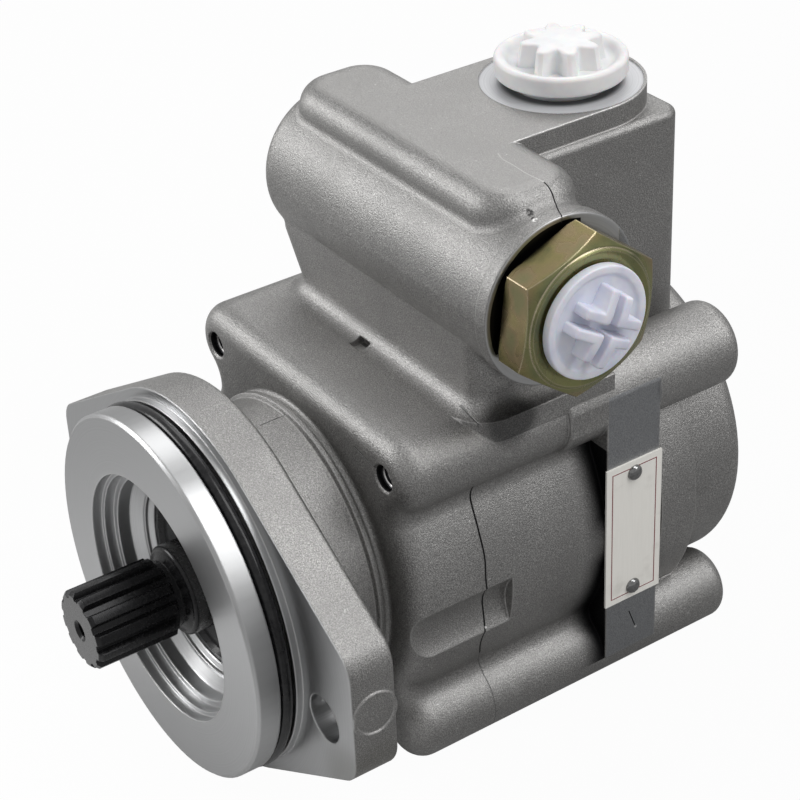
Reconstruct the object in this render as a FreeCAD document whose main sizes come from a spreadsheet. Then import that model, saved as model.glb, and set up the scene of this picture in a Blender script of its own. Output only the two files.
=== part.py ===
"""Vane pump for power steering, with a splined shaft and a two-bolt pilot flange.

Millimetres. The origin is on the shaft axis in the flange's mounting face. +Y runs along the shaft
towards the rear cover, +Z points up to the inlet port, and the nameplate is on the +X flank.
"""
import FreeCAD
import Part
import math
import os
import Sketcher
from FreeCAD import Placement, Rotation, Vector

doc = FreeCAD.newDocument("power_steering_pump")
sheet = doc.addObject("Spreadsheet::Sheet", "sizes")


# Driving sizes

SIZES = {
    # pilot and flange
    "pilot_radius": 50.8,
    "pilot_height": 13.2,
    "pilot_chamfer": 0.8,
    "groove_from_face": 6.6,
    "groove_width": 4.6,
    "groove_depth": 3.1,
    "flange_thickness": 13.0,
    "flange_round_radius": 53.6,
    "flange_half_length": 73.2,
    "flange_corner_radius": 9.0,
    "flange_edge_slope": 32.0,
    "flange_edge_round": 1.5,
    "bolt_circle": 120.65,
    "bolt_turn": 6.0,
    "bolt_hole_radius": 6.5,
    "bolt_relief_radius": 11.8,
    "bolt_relief_end": 64.0,
    "casting_mark_radius": 6.0,
    "casting_mark_wire": 0.45,
    "casting_mark_height": 1.0,
    # neck and barrel
    "neck_radius": 40.5,
    "neck_blend": 3.0,
    "bead_place": 30.0,
    "bead_height": 1.5,
    "bead_half_width": 1.3,
    "barrel_front": 33.0,
    "barrel_radius": 51.8,
    "barrel_end": 125.5,
    "barrel_blend": 5.0,
    "shoulder_round": 6.5,
    "tail_radius": 47.2,
    "tail_end": 148.4,
    "tail_round": 4.5,
    # corner lobes and the flat band that carries the nameplate
    "lobe_side_inset": 11.1,
    "lobe_rise_inset": 11.5,
    "lobe_radius": 10.5,
    "lobe_end": 141.0,
    "lobe_end_round": 4.0,
    "boss_radius": 11.8,
    "boss_front": 83.0,
    "deck_rear": 62.0,
    "band_front": 95.0,
    "band_rear": 112.5,
    "collar_gap": 1.0,
    "band_stand": 0.2,
    "tapped_radius": 3.4,
    "tapped_mouth": 4.1,
    "tapped_depth": 24.0,
    "notch_length": 5.0,
    "notch_width": 5.2,
    "notch_depth": 1.6,
    "notch_place": 55.0,
    # valve barrel, its foot and the rib on top
    "valve_place": 77.5,
    "valve_rise": 81.5,
    "valve_radius": 22.0,
    "valve_left": 48.8,
    "valve_right": 55.0,
    "valve_end_round": 5.0,
    "valve_rim_radius": 22.8,
    "valve_rim_width": 4.0,
    "foot_front": 58.5,
    "foot_rear": 98.0,
    "foot_left": 38.5,
    "foot_right": 46.0,
    "foot_base": 40.0,
    "foot_blend": 5.0,
    "valve_blend": 3.0,
    "foot_corner": 6.0,
    "wing_left": 46.5,
    "wing_drop": 15.5,
    "wing_low": 53.0,
    "rib_front": 64.0,
    "rib_rear": 93.0,
    "rib_left": 47.0,
    "rib_right": 48.0,
    "rib_corner": 11.0,
    "rib_edge": 6.5,
    # inlet block
    "block_half_width": 24.2,
    "block_front": 80.0,
    "block_base": 38.0,
    "block_rear": 142.0,
    "block_shelf": 102.0,
    "block_corner": 5.0,
    "block_edge": 2.0,
    "inlet_place": 120.7,
    "port_face": 108.0,
    "port_pad_radius": 22.4,
    "port_spot_radius": 21.6,
    "port_spot_depth": 0.4,
    "inlet_thread_radius": 12.2,
    "inlet_thread_depth": 22.0,
    "inlet_bore_radius": 10.0,
    "inlet_mouth": 1.4,
    # bores along the shaft
    "mouth_radius": 34.5,
    "mouth_depth": 3.0,
    "cup_radius": 33.3,
    "cup_depth": 6.0,
    "throat_radius": 31.4,
    "throat_end": 3.4,
    "seal_seat_mouth": 27.4,
    "bearing_radius": 26.0,
    "bearing_start": 11.0,
    "bearing_width": 15.0,
    "web_radius": 21.0,
    "chamber_front": 40.0,
    "chamber_radius": 41.5,
    "cover_seat_radius": 43.0,
    "cover_seat_start": 131.0,
    # shaft
    "shaft_end": 35.3,
    "spline_radius": 10.9,
    "spline_root": 9.1,
    "spline_teeth": 12.0,
    "spline_chamfer": 1.0,
    "spline_start": 11.2,
    "collar_start": 8.4,
    "shaft_radius": 12.5,
    "shaft_shoulder": 15.0,
    "shoulder_width": 3.0,
    "waist_radius": 11.0,
    "rotor_spline_radius": 10.2,
    "rotor_spline_root": 8.9,
    "rotor_spline_teeth": 12.0,
    "journal_radius": 8.5,
    "journal_end": 124.0,
    "centre_hole_radius": 2.2,
    "centre_hole_depth": 5.0,
    # bearing details
    "ball_radius": 3.97,
    "ball_circle": 19.25,
    "ball_count": 9.0,
    "ring_wall": 3.8,
    "race_gap": 0.08,
    "cage_wall": 1.4,
    "cage_half_width": 5.2,
    "clip_width": 1.2,
    "clip_height": 1.6,
    "fit_gap": 0.03,
    "loose_gap": 0.3,
    # pumping set
    "plate_front": 46.0,
    "plate_thickness": 16.0,
    "cam_width": 32.0,
    "cam_outer_radius": 38.0,
    "cam_minor": 25.6,
    "cam_major": 28.6,
    "cam_small_arc": 22.0,
    "rotor_radius": 25.0,
    "side_plate_thickness": 12.0,
    "vane_thickness": 2.0,
    "vane_height": 9.0,
    "vane_gap": 0.03,
    "vane_travel": 2.5,
    "tip_gap": 0.15,
    "slot_gap": 0.2,
    "pin_radius": 2.5,
    "pin_circle": 33.6,
    "pin_in_plate": 8.0,
    "bush_wall": 2.0,
    "ring_section": 1.2,
    # rear cover
    "cover_thickness": 11.0,
    "cover_hub_radius": 24.0,
    "cover_step": 2.0,
    "retainer_width": 2.0,
    "retainer_depth": 1.6,
    # flow valve
    "fitting_thread_radius": 14.2,
    "fitting_thread_length": 18.0,
    "spool_bore_radius": 9.0,
    "spool_bore_end": 32.0,
    "spool_left": 8.0,
    "spool_length": 38.0,
    "spool_waist_radius": 6.6,
    "spool_land": 12.0,
    "spool_pocket_radius": 6.0,
    "spool_pocket_depth": 5.0,
    "spool_travel": 9.0,
    "spring_wire": 0.8,
    "spring_turns": 8.0,
    "relief_bore_radius": 3.6,
    "relief_seat_length": 7.0,
    "relief_ball_radius": 2.4,
    "relief_wire": 0.45,
    # outlet fitting and the shipping plugs
    "hex_across_flats": 37.0,
    "hex_height": 10.5,
    "hex_turn": 20.5,
    "hex_chamfer": 1.8,
    "fitting_washer": 0.8,
    "outlet_thread_radius": 8.3,
    "outlet_thread_depth": 14.0,
    "outlet_bore_radius": 5.0,
    "outlet_mouth_radius": 12.4,
    "outlet_mouth_depth": 2.5,
    "outlet_cap_radius": 15.0,
    "outlet_cap_standoff": 3.2,
    "outlet_cap_thickness": 2.6,
    "cap_rib_height": 5.0,
    "cap_rib_width": 1.9,
    "cap_rib_reach": 9.4,
    "cap_slot_width": 2.4,
    "cap_turn": 48.0,
    "cap_wall": 1.6,
    "cap_rim_width": 2.2,
    "cap_dish": 0.7,
    "inlet_plug_radius": 17.3,
    "inlet_plug_standoff": 2.4,
    "inlet_plug_thickness": 3.3,
    "plug_core_radius": 7.0,
    "plug_grip_radius": 8.8,
    "plug_grip_height": 6.0,
    "plug_lobe_radius": 2.0,
    "plug_lobes": 8.0,
    "plug_turn": 21.5,
    # nameplate
    "nameplate_width": 18.7,
    "nameplate_height": 44.8,
    "nameplate_thickness": 0.6,
    "rivet_radius": 2.3,
    "rivet_shank_radius": 1.2,
    "rivet_shank_length": 5.0,
    "rivet_spacing": 37.4,
}

for row, (name, number) in enumerate(SIZES.items(), start=1):
    sheet.set(f"A{row}", name)
    sheet.set(f"B{row}", str(number))
    sheet.setAlias(f"B{row}", name)
doc.recompute()


class Size:
    """A number together with the sheet expression that it comes from."""

    def __init__(self, number, text):
        self.number = number
        self.text = text

    def join(self, sign, other, number):
        return Size(number, f"({self.text} {sign} {size(other).text})")

    def __add__(self, other):
        return self.join("+", other, self.number + size(other).number)

    def __sub__(self, other):
        return self.join("-", other, self.number - size(other).number)

    def __mul__(self, other):
        return self.join("*", other, self.number * size(other).number)

    def __truediv__(self, other):
        return self.join("/", other, self.number / size(other).number)

    def __neg__(self):
        return Size(-self.number, f"(-1 * {self.text})")

    def __rtruediv__(self, other):
        return size(other) / self

    __radd__ = __add__
    __rmul__ = __mul__

    def __rsub__(self, other):
        return size(other) - self

    def cos(self):
        return Size(math.cos(math.radians(self.number)), f"cos({self.text} * 1 deg)")

    def sin(self):
        return Size(math.sin(math.radians(self.number)), f"sin({self.text} * 1 deg)")

    def root(self):
        return Size(math.sqrt(self.number), f"sqrt({self.text})")


def size(value):
    if isinstance(value, Size):
        return value
    return Size(float(value), f"({float(value)!r})")


class Cells:
    """The sheet's cells by name."""


s = Cells()
for name, number in SIZES.items():
    setattr(s, name, Size(number, f"sizes.{name}"))


# Helpers that make one feature each

ALONG_X = Rotation(Vector(0, 1, 0), 90)
ALONG_Y = Rotation(Vector(1, 0, 0), -90)
ALONG_Z = Rotation()
PLANES = {"XY": "XY_Plane", "XZ": "XZ_Plane", "YZ": "YZ_Plane"}


def tie(obj, **values):
    """Bind properties to the sheet; a double underscore stands for a dot."""
    for prop, value in values.items():
        obj.setExpression(prop.replace("__", "."), size(value).text)
    return obj


def place(obj, at, turn=ALONG_Z):
    obj.Placement = Placement(Vector(*[size(value).number for value in at]), turn)
    for letter, value in zip("xyz", at):
        obj.setExpression(f"Placement.Base.{letter}", size(value).text)
    return obj


def cylinder(name, radius, length, at, turn=ALONG_Y):
    obj = doc.addObject("Part::Cylinder", name)
    tie(obj, Radius=radius, Height=length)
    return place(obj, at, turn)


def box(name, lengths, at):
    obj = doc.addObject("Part::Box", name)
    tie(obj, Length=lengths[0], Width=lengths[1], Height=lengths[2])
    return place(obj, at)


def fuse(name, parts):
    obj = doc.addObject("Part::MultiFuse", name)
    obj.Shapes = parts
    obj.Refine = True
    return obj


def cut(name, base, tools):
    tool = tools[0] if len(tools) == 1 else fuse(name + "_tools", tools)
    obj = doc.addObject("Part::Cut", name)
    obj.Base = base
    obj.Tool = tool
    obj.Refine = True
    return obj


def rounded(name, base, radius, wanted):
    """Round the edges of base that wanted() picks by their place."""
    doc.recompute()
    picked = [n for n, edge in enumerate(base.Shape.Edges, start=1) if wanted(edge)]
    if not picked:
        raise RuntimeError(f"{name}: no edge to round")
    obj = doc.addObject("Part::Fillet", name)
    obj.Base = base
    obj.Edges = [(n, size(radius).number, size(radius).number) for n in picked]
    return obj


def new_body(name, at=(0, 0, 0), turn=ALONG_Z):
    body = doc.addObject("PartDesign::Body", name)
    return place(body, at, turn)


def plane_of(body, role):
    return next(f for f in body.Origin.OriginFeatures if f.Role == PLANES[role])


def new_sketch(body, name, role):
    sketch = body.newObject("Sketcher::SketchObject", name)
    sketch.AttachmentSupport = [(plane_of(body, role), "")]
    sketch.MapMode = "FlatFace"
    return sketch


def pin_point(sketch, geometry, point, x, y):
    for kind, value in (("DistanceX", x), ("DistanceY", y)):
        value = size(value)
        n = sketch.addConstraint(Sketcher.Constraint(kind, -1, 1, geometry, point, value.number))
        sketch.setExpression(f"Constraints[{n}]", value.text)


def circle(sketch, radius, x=0, y=0):
    radius, x, y = size(radius), size(x), size(y)
    centre = Vector(x.number, y.number, 0)
    n = sketch.addGeometry(Part.Circle(centre, Vector(0, 0, 1), radius.number), False)
    c = sketch.addConstraint(Sketcher.Constraint("Radius", n, radius.number))
    sketch.setExpression(f"Constraints[{c}]", radius.text)
    pin_point(sketch, n, 3, x, y)


def arc_between(start, end, radius):
    """The short arc from start to end; a positive radius turns left, a negative one right."""
    a, b, r = Vector(*start, 0), Vector(*end, 0), radius
    half = (b - a) * 0.5
    rise = math.sqrt(max(r * r - half.Length ** 2, 0))
    left = Vector(-half.y, half.x, 0).normalize()
    centre = a + half + left * (rise if r > 0 else -rise)
    middle = centre + (a + half - centre).normalize() * abs(r) if rise > 1e-9 else a + half - left * r
    return Part.Arc(a, middle, b).toShape().Curve, centre


def outline(sketch, points):
    """A closed outline; a point is (x, y), or (x, y, radius) where an arc leaves it."""
    count = len(points)
    xy = [(size(p[0]).number, size(p[1]).number) for p in points]
    first = sketch.GeometryCount
    for i, point in enumerate(points):
        start, end = xy[i], xy[(i + 1) % count]
        if len(point) == 2:
            sketch.addGeometry(Part.LineSegment(Vector(*start, 0), Vector(*end, 0)), False)
            continue
        radius = size(point[2]).number
        curve, centre = arc_between(start, end, radius)
        angles = [math.atan2(v[1] - centre.y, v[0] - centre.x) for v in (start, end)]
        if radius < 0:
            angles.reverse()
        flat = Part.Circle(centre, Vector(0, 0, 1), abs(radius))
        sketch.addGeometry(Part.ArcOfCircle(flat, angles[0], angles[1]), False)
    for i, point in enumerate(points):
        turns_right = len(point) == 3 and size(point[2]).number < 0
        start_point = 2 if turns_right else 1
        pin_point(sketch, first + i, start_point, point[0], point[1])
        after = points[(i + 1) % count]
        next_start = 2 if len(after) == 3 and size(after[2]).number < 0 else 1
        end_point = 1 if turns_right else 2
        next_geometry = first + (i + 1) % count
        sketch.addConstraint(Sketcher.Constraint("Coincident", first + i, end_point, next_geometry, next_start))
        if len(point) == 3:
            radius = size(point[2])
            radius = -radius if radius.number < 0 else radius
            n = sketch.addConstraint(Sketcher.Constraint("Radius", first + i, radius.number))
            sketch.setExpression(f"Constraints[{n}]", radius.text)


def revolved(name, points, role="XY", axis="V_Axis", at=(0, 0, 0)):
    """A turned body: the outline is spun round the sketch's own axis."""
    body = new_body(name, at)
    sketch = new_sketch(body, name + "_profile", role)
    outline(sketch, points)
    feature = body.newObject("PartDesign::Revolution", name + "_turned")
    feature.Profile = sketch
    feature.ReferenceAxis = (sketch, [axis])
    feature.Angle = 360
    body.Tip = feature
    return body


def pad(body, name, sketch, length, reversed_way=False):
    feature = body.newObject("PartDesign::Pad", name)
    feature.Profile = sketch
    feature.Reversed = reversed_way
    tie(feature, Length=length)
    body.Tip = feature
    return feature


def pocket(body, name, sketch, reversed_way=False):
    feature = body.newObject("PartDesign::Pocket", name)
    feature.Profile = sketch
    feature.Type = 1
    feature.Reversed = reversed_way
    body.Tip = feature
    return feature


def polar(body, name, feature, count, role):
    """Repeat a feature round the axis that is square to the body's own plane."""
    axis = {"XZ": "Y_Axis", "XY": "Z_Axis", "YZ": "X_Axis"}[role]
    line = next(f for f in body.Origin.OriginFeatures if f.Role == axis)
    pattern = body.newObject("PartDesign::PolarPattern", name)
    pattern.Originals = [feature]
    pattern.Axis = (line, [""])
    pattern.Angle = 360
    pattern.Occurrences = round(size(count).number)
    body.Tip = pattern
    return pattern


# Housing

# The flange is a round with two ears, its sloping sides are tangent to the round.
slope = s.flange_edge_slope
ear_rise = (s.flange_round_radius - s.flange_half_length * slope.sin()) / slope.cos()
touch_x = s.flange_round_radius * slope.sin()
touch_z = s.flange_round_radius * slope.cos()
end_x = s.flange_half_length
flange_ears = new_body("flange_ears")
ears_sketch = new_sketch(flange_ears, "flange_ears_outline", "XZ")
outline(ears_sketch, [
    (end_x, -ear_rise), (end_x, ear_rise), (touch_x, touch_z), (-touch_x, touch_z),
    (-end_x, ear_rise), (-end_x, -ear_rise), (-touch_x, -touch_z), (touch_x, -touch_z)])
pad(flange_ears, "flange_ears_pad", ears_sketch, s.flange_thickness, True)
flange_round = cylinder("flange_round", s.flange_round_radius, s.flange_thickness, (0, 0, 0))
flange_raw = fuse("flange_raw", [flange_ears, flange_round])


def at_ear_corner(edge):
    ends = [v.Point for v in edge.Vertexes]
    upright = len(ends) == 2 and abs(ends[0].x - ends[1].x) < 0.01 and abs(ends[0].z - ends[1].z) < 0.01
    return upright and abs(abs(ends[0].x) - end_x.number) < 0.01


def at_flange_back(edge):
    return abs(edge.BoundBox.YMin - s.flange_thickness.number) < 0.01 and edge.BoundBox.YLength < 0.01


flange_cornered = rounded("flange_cornered", flange_raw, s.flange_corner_radius, at_ear_corner)
flange = rounded("flange", flange_cornered, s.flange_edge_round, at_flange_back)

# The pilot is turned, with a groove for its ring and a small chamfer at the front edge.
groove_front = -s.groove_from_face
groove_back = groove_front + s.groove_width
groove_floor = s.pilot_radius - s.groove_depth
pilot = revolved("pilot", [
    (0, -s.pilot_height), (s.pilot_radius - s.pilot_chamfer, -s.pilot_height),
    (s.pilot_radius, -s.pilot_height + s.pilot_chamfer), (s.pilot_radius, groove_front),
    (groove_floor, groove_front), (groove_floor, groove_back), (s.pilot_radius, groove_back),
    (s.pilot_radius, 0), (s.pilot_radius, 1), (0, 1)])

# The neck carries a raised mould bead and is blended into the flange and the barrel.
neck_in = s.neck_radius + s.neck_blend
neck_out = s.neck_radius + 1.5
neck = revolved("neck", [
    (0, 12), (neck_in, 12), (neck_in, s.flange_thickness, -s.neck_blend),
    (s.neck_radius, s.flange_thickness + s.neck_blend), (s.neck_radius, s.bead_place - s.bead_half_width),
    (s.neck_radius + s.bead_height * 0.8, s.bead_place - s.bead_half_width * 0.5),
    (s.neck_radius + s.bead_height * 0.8, s.bead_place + s.bead_half_width * 0.5),
    (s.neck_radius, s.bead_place + s.bead_half_width), (s.neck_radius, s.barrel_front - 1.5, -1.5),
    (neck_out, s.barrel_front), (neck_out, s.barrel_front + 1), (0, s.barrel_front + 1)])

# The barrel and its four lobes share one rounded front edge; a deck joins the upper two lobes.
main_length = s.band_front - s.barrel_front
lobe_side = s.barrel_radius - s.lobe_side_inset
lobe_rise = s.barrel_radius - s.lobe_rise_inset
band_side = s.barrel_radius + s.band_stand
barrel = cylinder("barrel", s.barrel_radius, main_length, (0, s.barrel_front, 0))
lobes = []
for word, side, rise in (("top_right", 1, 1), ("top_left", -1, 1), ("low_right", 1, -1), ("low_left", -1, -1)):
    spot = (lobe_side * side, s.barrel_front, lobe_rise * rise)
    lobes.append(cylinder("lobe_" + word, s.lobe_radius, main_length, spot))
deck_top = lobe_rise + s.lobe_radius
deck = box("deck", (lobe_side * 2, main_length, deck_top), (-lobe_side, s.barrel_front, 0))
main_whole = fuse("main_whole", [barrel, deck] + lobes)
above_deck = box("above_deck", (lobe_side * 2, main_length, 5), (-lobe_side, s.barrel_front, deck_top))
main_raw = cut("main_raw", main_whole, [above_deck])


def at_valley(edge):
    """Where a lobe's side runs into the barrel."""
    ends = [v.Point for v in edge.Vertexes]
    if len(ends) != 2 or abs(ends[0].x - ends[1].x) > 0.01 or abs(ends[0].z - ends[1].z) > 0.01:
        return False
    x, z = abs(ends[0].x), abs(ends[0].z)
    on_barrel = abs(math.hypot(x, z) - s.barrel_radius.number) < 0.02
    to_lobe = math.hypot(x - lobe_side.number, z - lobe_rise.number)
    return on_barrel and abs(to_lobe - s.lobe_radius.number) < 0.02


def at_main_front(edge):
    box_ = edge.BoundBox
    return box_.YLength < 0.01 and abs(box_.YMin - s.barrel_front.number) < 0.01


main_blended = rounded("main_blended", main_raw, s.barrel_blend, at_valley)
main_front = rounded("main_front", main_blended, s.shoulder_round, at_main_front)

# Behind the band come a round collar and the tail, and the lobes carry on to bolt bosses.
collar_front = s.band_rear + s.collar_gap
tail = revolved("tail", [
    (0, s.band_front - 1), (s.barrel_radius, s.band_front - 1), (s.barrel_radius, collar_front),
    (s.barrel_radius + 1.1, collar_front), (s.barrel_radius + 1.1, s.barrel_end),
    (s.tail_radius, s.barrel_end), (s.tail_radius, s.tail_end - s.tail_round, s.tail_round),
    (s.tail_radius - s.tail_round, s.tail_end), (0, s.tail_end)])
rear_lobes = []
for word, side, rise in (("top_right", 1, 1), ("top_left", -1, 1), ("low_right", 1, -1), ("low_left", -1, -1)):
    radius = s.boss_radius if rise > 0 else s.lobe_radius
    front = s.boss_front if rise > 0 else s.band_front - 1
    length = s.lobe_end - front
    boss = revolved("boss_" + word, [
        (0, 0), (radius - 0.6, 0), (radius, 0.6), (radius, length - s.lobe_end_round, s.lobe_end_round),
        (radius - s.lobe_end_round, length), (0, length)],
        at=(lobe_side * side, front, lobe_rise * rise))
    rear_lobes.append(boss)
band = box("band", (band_side * 2, s.band_rear - s.band_front, lobe_rise * 2),
           (-band_side, s.band_front, -lobe_rise))
lower_fill = box("lower_fill", (lobe_side * 2, s.band_rear - s.band_front, lobe_rise),
                 (-lobe_side, s.band_front, lobe_rise * 0))

# The valve barrel lies across the housing on a blended foot.
valve_span = s.valve_left + s.valve_right
valve_barrel = revolved("valve_barrel", [
    (0, 0), (s.valve_radius - s.valve_end_round, 0, s.valve_end_round),
    (s.valve_radius, s.valve_end_round), (s.valve_radius, valve_span - s.valve_rim_width - 1, -1),
    (s.valve_rim_radius, valve_span - s.valve_rim_width), (s.valve_rim_radius, valve_span - 0.4),
    (s.valve_rim_radius - 0.4, valve_span), (0, valve_span)])
valve_barrel.Placement = Placement(Vector(), Rotation(Vector(0, 0, 1), -90))
for letter, value in zip("xyz", (-s.valve_left, s.valve_place, s.valve_rise)):
    valve_barrel.setExpression(f"Placement.Base.{letter}", value.text)
foot_raw = box("foot_raw", (s.foot_left + s.foot_right, s.foot_rear - s.foot_front, s.valve_rise - s.foot_base),
               (-s.foot_left, s.foot_front, s.foot_base))


def is_upright(edge):
    box_ = edge.BoundBox
    return box_.XLength < 0.01 and box_.YLength < 0.01


def front_upright(edge):
    return is_upright(edge) and abs(edge.BoundBox.YMin - s.foot_front.number) < 0.01


foot = rounded("foot", foot_raw, s.foot_corner, front_upright)

# The foot's left wall leans outwards to carry the end of the valve barrel.
wing_high = s.valve_rise - s.wing_drop
wing_in = s.foot_corner * 2 - s.foot_left
foot_wing_raw = new_body("foot_wing_raw")
wing_sketch = new_sketch(foot_wing_raw, "foot_wing_profile", "XZ")
outline(wing_sketch, [
    (-s.foot_left, s.wing_low), (wing_in, s.wing_low), (wing_in, s.valve_rise),
    (-s.wing_left, s.valve_rise), (-s.wing_left, wing_high)])
pad(foot_wing_raw, "foot_wing_pad", wing_sketch, s.foot_rear - s.foot_front, True)
foot_wing_raw.setExpression("Placement.Base.y", s.foot_front.text)


def wing_front(edge):
    """The wing's outer front edges, the leaning one and the short upright above it."""
    box_ = edge.BoundBox
    in_front = box_.YLength < 0.01 and abs(box_.YMin - s.foot_front.number) < 0.01
    return in_front and box_.ZLength > 0.01 and box_.XMin < -s.foot_left.number - 0.01


foot_wing = rounded("foot_wing", foot_wing_raw, s.foot_corner, wing_front)

# The rib on top ends level with the inlet's machined pad.
rib_raw = box("rib_raw", (s.rib_left + s.rib_right, s.rib_rear - s.rib_front, s.port_face - s.valve_rise),
              (-s.rib_left, s.rib_front, s.valve_rise))
rib_cornered = rounded("rib_cornered", rib_raw, s.rib_corner, is_upright)


def at_port_face(edge):
    box_ = edge.BoundBox
    return box_.ZLength < 0.01 and abs(box_.ZMin - s.port_face.number) < 0.01


rib = rounded("rib", rib_cornered, s.rib_edge, at_port_face)

block_long = s.block_rear - s.block_front
block_raw = box("block_raw", (s.block_half_width * 2, block_long, s.block_shelf - s.block_base),
                (-s.block_half_width, s.block_front, s.block_base))
block_cornered = rounded(
    "block_cornered", block_raw, s.block_corner,
    lambda e: is_upright(e) and abs(e.BoundBox.YMin - s.block_rear.number) < 0.01)


def at_shelf(edge):
    box_ = edge.BoundBox
    return abs(box_.ZMin - s.block_shelf.number) < 0.01 and box_.YMax > s.block_front.number + 0.1


block = rounded("block", block_cornered, s.block_edge, at_shelf)
port_pad = cylinder("port_pad", s.port_pad_radius, s.port_face - s.valve_rise,
                    (0, s.inlet_place, s.valve_rise), ALONG_Z)
port_bridge = box("port_bridge", (s.port_pad_radius * 2, s.inlet_place - s.valve_place,
                                  s.port_face - s.valve_rise),
                  (-s.port_pad_radius, s.valve_place, s.valve_rise))

upper_raw = fuse("upper_raw", [valve_barrel, foot, foot_wing, rib, block, port_pad, port_bridge])


def under_barrel(edge):
    """Where the valve barrel bulges over the foot's front wall."""
    box_ = edge.BoundBox
    front = s.foot_front.number
    in_front = front - 0.1 < box_.YMin and box_.YMax < front + s.foot_corner.number + 0.1
    below = box_.ZMin > deck_top.number + 5 and box_.ZMax < s.valve_rise.number - 5
    return in_front and below and edge.Length > 5


def beside_rib(edge):
    """Where the rib's front and ends rise from the valve barrel."""
    box_ = edge.BoundBox
    low = s.valve_rise.number + 15 < box_.ZMin and box_.ZMax < s.valve_rise.number + s.valve_radius.number + 0.5
    on_edge_round = abs(box_.ZMin - s.port_face.number + s.rib_edge.number) < 0.01 and box_.ZLength < 0.01
    in_front = s.rib_front.number - 0.1 < box_.YMin and box_.YMax < s.valve_place.number - 1
    return low and in_front and not on_edge_round and edge.Length > 3


upper_front = rounded("upper_front", upper_raw, s.valve_blend, under_barrel)
upper = rounded("upper", upper_front, s.valve_blend, beside_rib)

# A concave blend runs round the foot where it stands on the deck.
blend = s.foot_blend
blend_low = deck_top - 6
corner = s.foot_corner
front_blend = new_body("front_blend", (corner - s.foot_left, 0, 0))
blend_sketch = new_sketch(front_blend, "front_blend_profile", "YZ")
outline(blend_sketch, [
    (s.foot_front + 1, blend_low), (s.foot_front + 1, deck_top + blend),
    (s.foot_front, deck_top + blend, -blend), (s.foot_front - blend, deck_top),
    (s.foot_front - blend, blend_low)])
pad(front_blend, "front_blend_pad", blend_sketch, s.foot_left + s.foot_right - corner * 2)
blends = [front_blend]
for word, side, reach in (("left", -1, s.foot_left), ("right", 1, s.foot_right)):
    centre = (reach - corner) * side
    blends.append(revolved(f"corner_blend_{word}", [
        (corner - 1, blend_low), (corner + blend, blend_low), (corner + blend, deck_top, -blend),
        (corner, deck_top + blend), (corner - 1, deck_top + blend)],
        role="XZ", at=(centre, s.foot_front + corner, 0)))
    side_blend = new_body(f"side_blend_{word}", (centre, s.foot_front + corner, 0))
    side_sketch = new_sketch(side_blend, f"side_blend_{word}_profile", "XZ")
    points = [(corner - 1, blend_low), (corner + blend, blend_low), (corner + blend, deck_top, -blend),
              (corner, deck_top + blend), (corner - 1, deck_top + blend)]
    if side < 0:
        points = [(-corner - blend, blend_low), (1 - corner, blend_low), (1 - corner, deck_top + blend),
                  (-corner, deck_top + blend, -blend), (-corner - blend, deck_top)]
    outline(side_sketch, points)
    pad(side_blend, f"side_blend_{word}_pad", side_sketch, s.foot_rear - s.foot_front - corner, True)
    blends.append(side_blend)

solid = fuse("solid", [flange, pilot, neck, main_front, tail, band, lower_fill, upper] + blends + rear_lobes)

# The casting mark on the right ear's end is a plain raised ring.
casting_mark = doc.addObject("Part::Torus", "casting_mark")
tie(casting_mark, Radius1=s.casting_mark_radius, Radius2=s.casting_mark_wire)
place(casting_mark, (end_x, s.flange_thickness / 2, s.casting_mark_height), ALONG_X)

# Bores along the shaft: mouth, seal and bearing seats, pumping chamber, cover seat.
clip_front = s.bearing_start - s.clip_width - 0.1
retainer_front = s.cover_seat_start + s.cover_thickness + 0.1
retainer_back = retainer_front + s.retainer_width
clip_reach = s.bearing_radius + s.clip_height - 0.2
shaft_bores = revolved("shaft_bores", [
    (0, -s.pilot_height - 1), (s.mouth_radius, -s.pilot_height - 1),
    (s.mouth_radius, -s.pilot_height + s.mouth_depth), (s.cup_radius, -s.pilot_height + s.mouth_depth),
    (s.cup_radius, -s.pilot_height + s.cup_depth), (s.throat_radius, -s.pilot_height + s.cup_depth),
    (s.throat_radius, -s.throat_end), (s.seal_seat_mouth + 1, -1), (s.seal_seat_mouth, -1),
    (s.seal_seat_mouth, 0), (s.bearing_radius, 1), (s.bearing_radius, clip_front),
    (clip_reach, clip_front), (clip_reach, s.bearing_start), (s.bearing_radius, s.bearing_start),
    (s.bearing_radius, s.bearing_start + s.bearing_width), (s.web_radius, s.bearing_start + s.bearing_width),
    (s.web_radius, s.chamber_front), (s.chamber_radius, s.chamber_front),
    (s.chamber_radius, s.cover_seat_start), (s.cover_seat_radius, s.cover_seat_start),
    (s.cover_seat_radius, retainer_front), (s.cover_seat_radius + s.retainer_depth, retainer_front),
    (s.cover_seat_radius + s.retainer_depth, retainer_back), (s.cover_seat_radius, retainer_back),
    (s.cover_seat_radius, s.tail_end - 0.8), (s.cover_seat_radius + 0.8, s.tail_end),
    (s.cover_seat_radius + 0.8, s.tail_end + 1), (0, s.tail_end + 1)])
cuts = [shaft_bores]

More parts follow.
